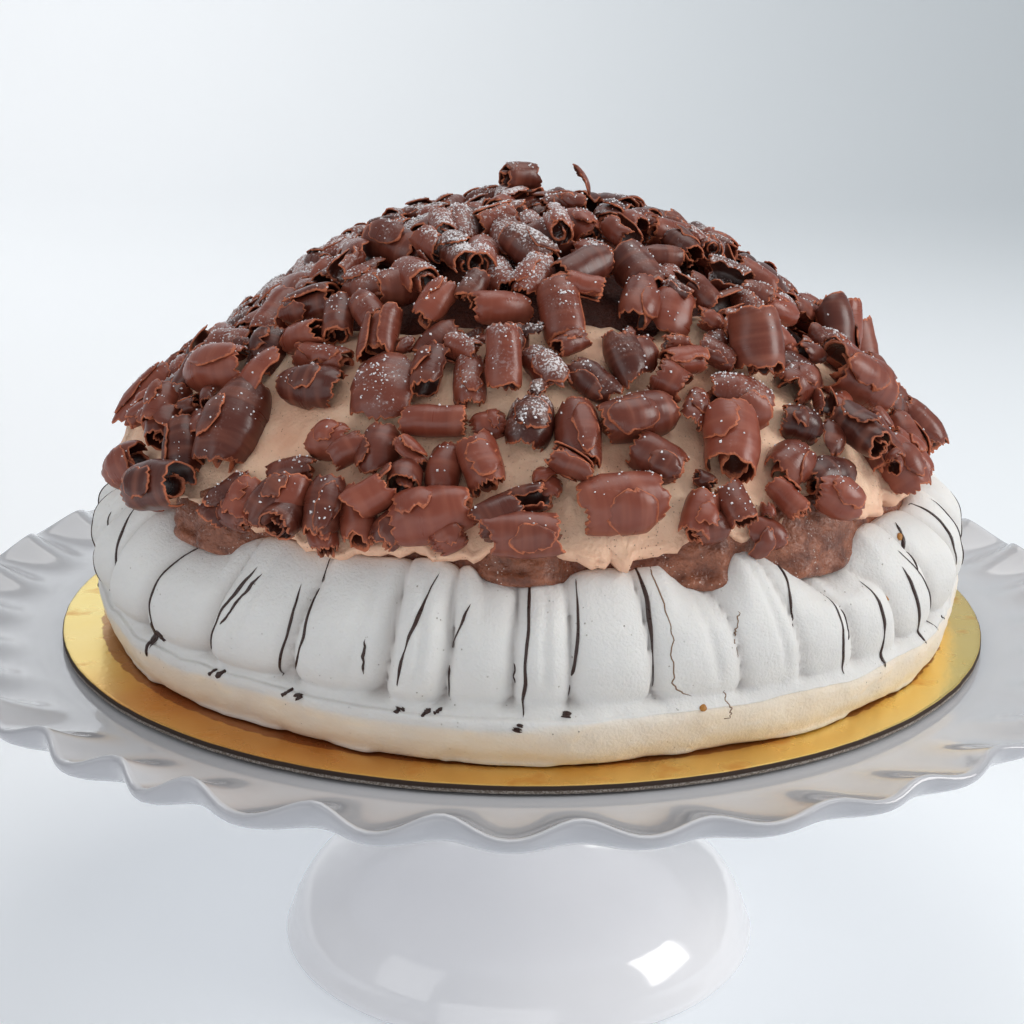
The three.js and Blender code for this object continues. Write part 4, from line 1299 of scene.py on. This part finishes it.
def drop_curl(rng, kind, azimuth, radius, pose, share, most, plain_cut=False, start=None):
    """Lays one loose curl, whose pose is its heading, tilt, length and width, on what is already there, with
    share of its points sunk in, unless it would stand higher over the dome than most. Says whether it did."""
    heading, tilt, length, width = pose
    roll = [rng.uniform(*span) for span in ROLLS[kind]]
    if start is not None:
        roll[0] = start
    r = width / 2
    if kind == "shard":
        r = width / 2 / math.sin(math.radians(roll[1] / 2))
    sheets = build_curl(rng, kind, length, r, roll, plain_cut, 0.66 if abs(azimuth) > FAR_SIDE else 1.0)
    axes = curl_axes(azimuth, radius, heading, tilt)
    middle = polar(azimuth, radius, dome_z(radius))
    body = middle + sheets[0][0] @ axes.T
    raised = settle(body, share)
    body[:, 2] += raised
    reach = np.hypot(body[:, 0], body[:, 1])
    leans_out = reach.max() > (LEFT_REACH if azimuth < 0 else RIGHT_REACH)
    if (body[:, 2] - dome_z(reach)).max() > most or (leans_out and OUTLINE[0] < abs(azimuth) < OUTLINE[1]):
        return False
    middle = middle + np.array([0, 0, raised])
    for points, _, _ in sheets:
        deposit(middle + points @ axes.T)
    part = "petal_back" if kind == "petal" and middle[1] > 0 else kind
    HEAPED.append((part, rng.integers(1 << 30), sheets, axes, middle))
    return True


LEAST_SHOWING = 0.2  # share of a curl's points near the top of what lies there, below which it is left out


def lay_heap():
    """Adds the heap's curls, but for those that others hide."""
    for part, seed, sheets, axes, middle in HEAPED:
        body = middle + sheets[0][0] @ axes.T
        showing = np.mean(body[:, 2] > field[field_cells(body)] - 2.5)
        if showing < LEAST_SHOWING:
            continue
        rng = np.random.default_rng(seed)
        dusting = dust_at(*middle[:2]) * rng.uniform(0.2, 1.15)
        lay_curl(HEAP_SHAPES[part], rng, sheets, axes, middle, dusting, rng.random())


# Larger curls of the heap that catch the eye: kind, azimuth, radius, heading, tilt, length, width and the
# angle at which the roll starts.
MARKED = [
    ("petal", 29, 86, -14, 0, 25, 14, -25),
    ("tube", 36, 60, -96, 8, 14, 10, None),
    ("petal", 12, 47, -15, 0, 27, 14, -20),
    ("scroll", 14, 84, 98, 6, 15, 9, None),
    ("petal", 63, 87, -115, 0, 21, 13, -20),
    ("petal", -38, 92, 4, 0, 21, 9, -30),
    ("petal", -17, 83, 56, 0, 17, 9, -10),
    ("petal", -12, 58, 20, 0, 20, 13, -30),
    ("scroll", -40, 55, 150, 5, 17, 11, None),
    ("petal", 2, 68, -60, 0, 18, 11, -20),
    ("petal", -28, 70, 30, 0, 19, 12, -10),
    ("petal", 50, 68, 35, 0, 18, 11, -20),
    ("tube", -62, 84, 120, 0, 20, 11, None),
    ("scroll", 75, 60, -70, 10, 17, 12, None),
    ("petal", 99, 96, 60, 20, 20, 13, -30),
    ("tube", 93, 103, 80, 50, 26, 13, None),
    ("petal", 86, 98, 60, 38, 25, 15, -30),
    ("petal", 97, 110, 70, 40, 24, 14, -30),
    ("petal", 104, 84, -40, 10, 22, 13, -20),
    ("tube", -160, 12, 60, 8, 13, 9, None),
]
# Curls that hang over the mousse's rim, given in the same way.
RIM = [
    ("petal", -84, 126, 80, 8, 18, 10, -20), ("petal", -75, 128, 60, 5, 16, 10, -30),
    ("petal", -66, 130, 10, 0, 16, 9, -30), ("petal", -60, 123, 120, 0, 15, 9, -20),
    ("petal", -35.2, 132, 100, 0, 15, 10, -30), ("scroll", -28.6, 131, 88, 0, 15, 11, None),
    ("petal", -30.5, 134, 70, 0, 17, 10, -20), ("petal", -24, 130, 95, 0, 20, 11, -30),
    ("petal", -15.5, 131, 60, 0, 18, 12, -30), ("petal", -10.5, 129, 20, 0, 25, 15, -30),
    ("tube", -18, 129, 40, 0, 15, 10, None), ("petal", -3, 131, 30, 0, 15, 10, -20),
    ("scroll", 22, 128, 60, 0, 15, 11, None), ("petal", 30, 122, 110, 0, 17, 11, -20),
    ("petal", 36, 129, 20, 0, 15, 10, -20), ("petal", 43, 125, 0, 0, 19, 13, -30),
    ("petal", 50, 127, 40, 0, 17, 11, -20), ("tube", 57, 123, 80, 0, 19, 11, None),
    ("petal", 64, 127, 95, 0, 18, 11, -30), ("petal", 72, 127, 90, 4, 20, 12, -20),
    ("tube", 80, 125, 80, 8, 18, 11, None), ("petal", 88, 128, 70, 4, 17, 11, -20),
]


HEAP_REACH = 132  # radius within which the heap's curls are strewn


def scatter(rng, spacing, reach):
    """Plan points over the heap, no two closer than about spacing."""
    taken = []
    for _ in range(9000):
        azimuth, radius = rng.uniform(-180, 180), reach * HEAP_REACH * math.sqrt(rng.random())
        if radius > through(np.array([azimuth]), HEAP_EDGE)[0] * reach:
            continue
        x, y = polar(azimuth, radius, 0.0)[:2]
        gap = spacing * (0.9 + 0.25 * noise(np.array([x, y, 5.0]), 30, 92))
        if all((x - a) ** 2 + (y - b) ** 2 > gap * gap for a, b, _, _ in taken):
            taken.append((x, y, azimuth, radius))
    return [(azimuth, radius) for _, _, azimuth, radius in taken]


KIND_SHARES = (("petal", 0.44), ("tube", 0.26), ("scroll", 0.18), ("shard", 0.12))
# Places on the open front where the mousse stays bare: azimuth, radius and size.
BARE = [(-36, 107, 10), (-29, 103, 7), (-36, 115, 7), (-38, 121, 5), (-17, 110, 6), (-11, 96, 5), (-3, 95, 5),
        (4, 112, 7), (-2, 119, 6), (4, 107, 5), (18, 122, 6), (21, 116, 6), (23, 114, 5), (22, 126, 5),
        (53, 107, 4), (9, 129, 8), (4, 131, 5), (-34, 124, 5), (-69, 130, 4)]
# By azimuth: how high over the dome the heap may reach.
TOP_LIMITS = [(-150, 9), (-112, 4.2), (-88, 4.2), (-70, 5.5), (-56, 12), (0, 15), (60, 13), (84, 10),
              (125, 9), (160, 9)]


def pick_kind(rng):
    roll = rng.random()
    for kind, share in KIND_SHARES:
        roll -= share
        if roll < 0:
            return kind
    return "petal"


def top_limit(azimuth, radius):
    """The same for a place: lower over the left shoulder and in the middle."""
    side = through(np.array([azimuth]), TOP_LIMITS)[0]
    side += 4 * smooth(radius, 108, 114) * smooth(radius, 128, 122) * (abs(off_by(azimuth, -95)) < 25)
    side -= 4 * smooth(radius, 112, 122) * smooth(off_by(azimuth, 95), -35, -20)
    return 7 + (side - 7) * (smooth(radius, 58, 88) if side < 7 else smooth(radius, 15, 45))


def front_limit(length, azimuth, radius):
    """The same for curls between the single ones, which stay low where they make the outline."""
    free = 0.45 * length + 7 + 5 * smooth(radius, 90, 130)
    return free if abs(azimuth) < 70 else min(free, top_limit(azimuth, radius) + 2)


IN_HEAP = field_radius < through(field_azimuth, HEAP_EDGE) - 2
IN_FRONT = (np.abs(field_azimuth) < 100) & (field_radius < 131) & ~IN_HEAP
for bare_azimuth, bare_radius, bare_size in BARE:
    spot = polar(bare_azimuth, bare_radius, 0.0)
    IN_FRONT &= np.hypot(field_x - spot[0], field_y - spot[1]) > bare_size + 1


def fill_gaps(rng, where, margin, lengths, tries, share, highest):
    """Lays curls where the mousse still shows, more than margin cells from what lies there."""
    for _ in range(tries):
        covered = hiding = field > COVERED
        for shift in itertools.product(range(-margin, margin + 1), repeat=2):
            covered = covered | np.roll(hiding, shift, (0, 1))
        i, j = np.nonzero(where & ~covered)
        if not len(i):
            break
        k = rng.integers(len(i))
        x, y = field_x[i[k], j[k]], field_y[i[k], j[k]]
        azimuth, radius = math.degrees(math.atan2(x, -y)), math.hypot(x, y)
        kind, length = pick_kind(rng), rng.triangular(*lengths)
        pose = (rng.uniform(0, 360), rng.uniform(-15, 15), length, length * rng.uniform(0.5, 0.7))
        drop_curl(rng, kind, azimuth, radius, pose, share, highest(length, azimuth, radius))


def make_heap():
    rng = np.random.default_rng(5)
    turn = lambda: rng.uniform(0, 360)
    for azimuth, radius in scatter(rng, 8.5, 1.0):
        pose = (turn(), rng.uniform(-20, 20), rng.uniform(5, 10), rng.uniform(4, 8))
        drop_curl(rng, "chip", azimuth, radius, pose, 0.35, 4)
    for azimuth, radius in scatter(rng, 13.5, 0.97):
        kind = pick_kind(rng)
        pose = (turn(), rng.uniform(-12, 12), rng.uniform(13, 19), rng.uniform(7, 10))
        drop_curl(rng, kind, azimuth, radius, pose, 0.2, 9, plain_cut=True)
    for table, seed, share in ((MARKED, 600, 0.35), (RIM, 700, 0.5)):
        for number, (kind, azimuth, radius, *pose, start) in enumerate(table):
            most = 26 if table is MARKED else 24 if abs(azimuth) < OUTLINE[0] else 13
            own = np.random.default_rng(seed + number)
            drop_curl(own, kind, azimuth, radius, pose, share, most, start=start)
    for spacing in (14.0, 13.0):
        for azimuth, radius in scatter(rng, spacing, 0.99):
            kind = pick_kind(rng)
            length = rng.triangular(13, 18, 25)
            if kind == "shard":
                width = length * rng.uniform(0.6, 0.9)
            else:
                width = min(length * rng.uniform(0.5, 0.72), 14)
            most = top_limit(azimuth, radius)
            for _ in range(3):
                pose = (turn(), rng.uniform(-22, 22), length, width)
                if drop_curl(rng, kind, azimuth, radius, pose, 0.3, most):
                    break
    for lengths, tries, extra in (((13, 16, 20), 260, 0), ((10, 13, 16), 300, 2)):
        most = lambda length, azimuth, radius: top_limit(azimuth, radius) + extra * (abs(azimuth) < 70)
        fill_gaps(rng, IN_HEAP, 0, lengths, tries, 0.4, most)
    # smaller curls and chips between the single ones at the front
    for lengths, tries, margin in (((16, 18, 21), 120, 1), ((12, 14, 16), 160, 0), ((7, 9, 11), 160, 0)):
        fill_gaps(rng, IN_FRONT, margin, lengths, tries, 0.35, front_limit)
    for _ in range(40):
        azimuth, radius = rng.uniform(-80, 80), rng.uniform(84, 127)
        pose = (turn(), rng.uniform(-25, 25), rng.uniform(2, 4), rng.uniform(1.5, 3))
        drop_curl(rng, "chip", azimuth, radius, pose, 0.15, 5)
    lay_heap()


make_heap()

SUGAR_GRAINS = 6400


def make_sugar():
    """Single grains on the upward sides of the curls."""
    rng = np.random.default_rng(17)
    corners, normals, dusting = (np.concatenate(kind) for kind in zip(*TOPS))
    area = np.linalg.norm(np.cross(corners[:, 2] - corners[:, 0], corners[:, 3] - corners[:, 1]), axis=1)
    centre = corners.mean(1)
    clear = centre[:, 2] > field[field_cells(centre)] - 1.6
    patch = noise(centre, 7, 93) + 0.6 * noise(centre, 2.6, 94)
    weight = area * clear * np.clip(normals[:, 2], 0, 1) ** 1.5 * dusting
    weight = weight * np.clip(patch + 0.45, 0.04, 1.2) ** 1.6
    pick = rng.choice(len(weight), SUGAR_GRAINS, p=weight / weight.sum())
    a, b = rng.random((2, len(pick), 1))
    c = corners[pick]
    place = (c[:, 0] * (1 - a) + c[:, 1] * a) * (1 - b) + (c[:, 3] * (1 - a) + c[:, 2] * a) * b
    place = place + normals[pick] * 0.08
    size = rng.triangular(0.14, 0.22, 0.6, len(pick))
    star = np.array([[1, 0, 0], [0, 1, 0], [-1, 0, 0], [0, -1, 0], [0, 0, 1], [0, 0, -1]], float)
    turn = unit(rng.normal(size=(len(pick), 3)))
    other = unit(np.cross(turn, rng.normal(size=(len(pick), 3))))
    basis = np.stack([turn, other, np.cross(turn, other)], 2)
    uneven_tips = rng.uniform(0.6, 1.2, (len(pick), len(star), 1))
    points = place[:, None] + np.einsum("nij,kj->nki", basis, star) * size[:, None, None] * uneven_tips
    faces = np.array([[0, 1, 4], [1, 2, 4], [2, 3, 4], [3, 0, 4], [1, 0, 5], [2, 1, 5], [3, 2, 5], [0, 3, 5]])
    faces = (faces[None] + np.arange(len(pick))[:, None, None] * len(star)).reshape(-1, 3)
    make_piece("sugar_grains", Shape().add(points, [faces]), SUGAR, "chocolate", is_smooth=False)


make_sugar()

for kind, shape in SHAPES.items():
    nodes = [name for name in CURL_NODES if name.split("_")[1] == kind]
    make_piece(f"single_{kind}s", shape, CHOCOLATE, "chocolate", *nodes)
for kind, shape in HEAP_SHAPES.items():
    name = "heap_petals_back" if kind == "petal_back" else f"heap_{kind}s"
    make_piece(name, shape, CHOCOLATE, "chocolate", *(["curl_heap"] if kind == "petal" else []))

# ---------------------------------------------------------------- studio


def make_studio():
    """A pale floor that sweeps up behind, and soft lights. None of it is part of the object."""
    far, bend, top = 1900, 900, 2600  # where the floor begins to rise, how round, and how high the sweep is
    profile = [(-5000, 0), (-900, 0), (900, 0), (far, 0)]
    for t in range(6, 91, 6):
        profile.append((far + bend * math.sin(math.radians(t)), bend - bend * math.cos(math.radians(t))))
    profile.append((far + bend, top))
    across = np.linspace(-4200, 4200, 9)
    points = np.array([[(x, y, z) for x in across] for y, z in profile])
    sweep = bpy.data.meshes.new("studio_sweep")
    quads = grid_quads(len(profile), len(across), False)
    sweep.from_pydata((points.reshape(-1, 3) * MM).tolist(), [], quads.tolist())
    sweep.polygons.foreach_set("use_smooth", np.full(len(quads), True))
    paper = Surface("studio_paper", Roughness=0.9, Specular_IOR_Level=0.1)
    # painted shade: the paper greyer towards the right
    spread = paper.add("ShaderNodeSeparateXYZ", sockets={0: paper.place}, output="X")
    paper.feed(Base_Color=paper.mix(paper.step(spread, -0.9, 0.9), tone(245, 247, 249), tone(213, 219, 223)))
    # painted light: the floor glows faintly from the front to a little way behind the stand, none on the
    # rising sweep
    away = paper.add("ShaderNodeSeparateXYZ", sockets={0: paper.place}, output="Y")
    near = paper.step(away, 0.4, 1.7, 1.0, 0.0)
    paper.feed(Emission_Color=paper.mix(near, (0, 0, 0), (0.2, 0.205, 0.215)), Emission_Strength=1.0)
    sweep.materials.append(paper.material)
    floor = bpy.data.objects.new("studio_sweep", sweep)
    bpy.context.scene.collection.objects.link(floor)

    def soft_light(name, place, target, size, power, colour=(1, 1, 1), size_y=None):
        data = bpy.data.lights.new(name, "AREA")
        data.shape, data.size, data.size_y = "RECTANGLE", size, size_y or size
        data.energy, data.color = power, colour
        light = bpy.data.objects.new(name, data)
        light.location = place
        light.rotation_euler = (Vector(target) - Vector(place)).to_track_quat("-Z", "Y").to_euler()
        bpy.context.scene.collection.objects.link(light)

    soft_light("overhead", (0.25, 0.35, 1.7), (0, 0, 0.15), 1.3, 9.0, (1.0, 0.99, 0.97))
    soft_light("right_window", (1.7, -0.35, 0.95), (0, 0, 0.16), 0.9, 18, (1.0, 0.98, 0.95), 1.1)
    soft_light("left_fill", (-1.5, -1.0, 0.9), (0, 0, 0.15), 1.0, 4.0, (0.98, 0.99, 1.0), 1.2)
    soft_light("backdrop_wash", (-0.7, 1.3, 1.5), (-0.35, 2.7, 0.75), 1.2, 15.5, (0.98, 0.99, 1.0))
    soft_light("front_low", (-0.25, -1.5, 0.26), (0, 0, 0.05), 1.5, 2.0, (1.0, 1.0, 1.0), 0.4)

    world = bpy.data.worlds.new("studio_air")
    world.use_nodes = True
    air = world.node_tree.nodes["Background"]
    air.inputs["Color"].default_value = (0.96, 0.975, 1.0, 1)
    air.inputs["Strength"].default_value = 0.36
    bpy.context.scene.world = world
    bpy.context.scene.view_settings.view_transform = "Standard"


make_studio()

CAMERA_PLACE = (0.0, -0.63306, 0.33713)
CAMERA_PITCH, CAMERA_YAW, CAMERA_ROLL = 16.405, -0.3096, 0.4232  # degrees down, sideways, round the view


def make_camera():
    pitch, yaw = math.radians(CAMERA_PITCH), math.radians(CAMERA_YAW)
    ahead = Vector((math.sin(yaw) * math.cos(pitch), math.cos(yaw) * math.cos(pitch), -math.sin(pitch)))
    data = bpy.data.cameras.new("camera")
    data.sensor_width, data.lens = 36.0, 70.3125
    data.clip_start, data.clip_end = 0.02, 50
    camera = bpy.data.objects.new("camera", data)
    turned = ahead.to_track_quat("-Z", "Y").to_matrix() @ Matrix.Rotation(math.radians(CAMERA_ROLL), 3, "Z")
    camera.matrix_world = Matrix.Translation(CAMERA_PLACE) @ turned.to_4x4()
    bpy.context.scene.collection.objects.link(camera)
    bpy.context.scene.camera = camera


make_camera()
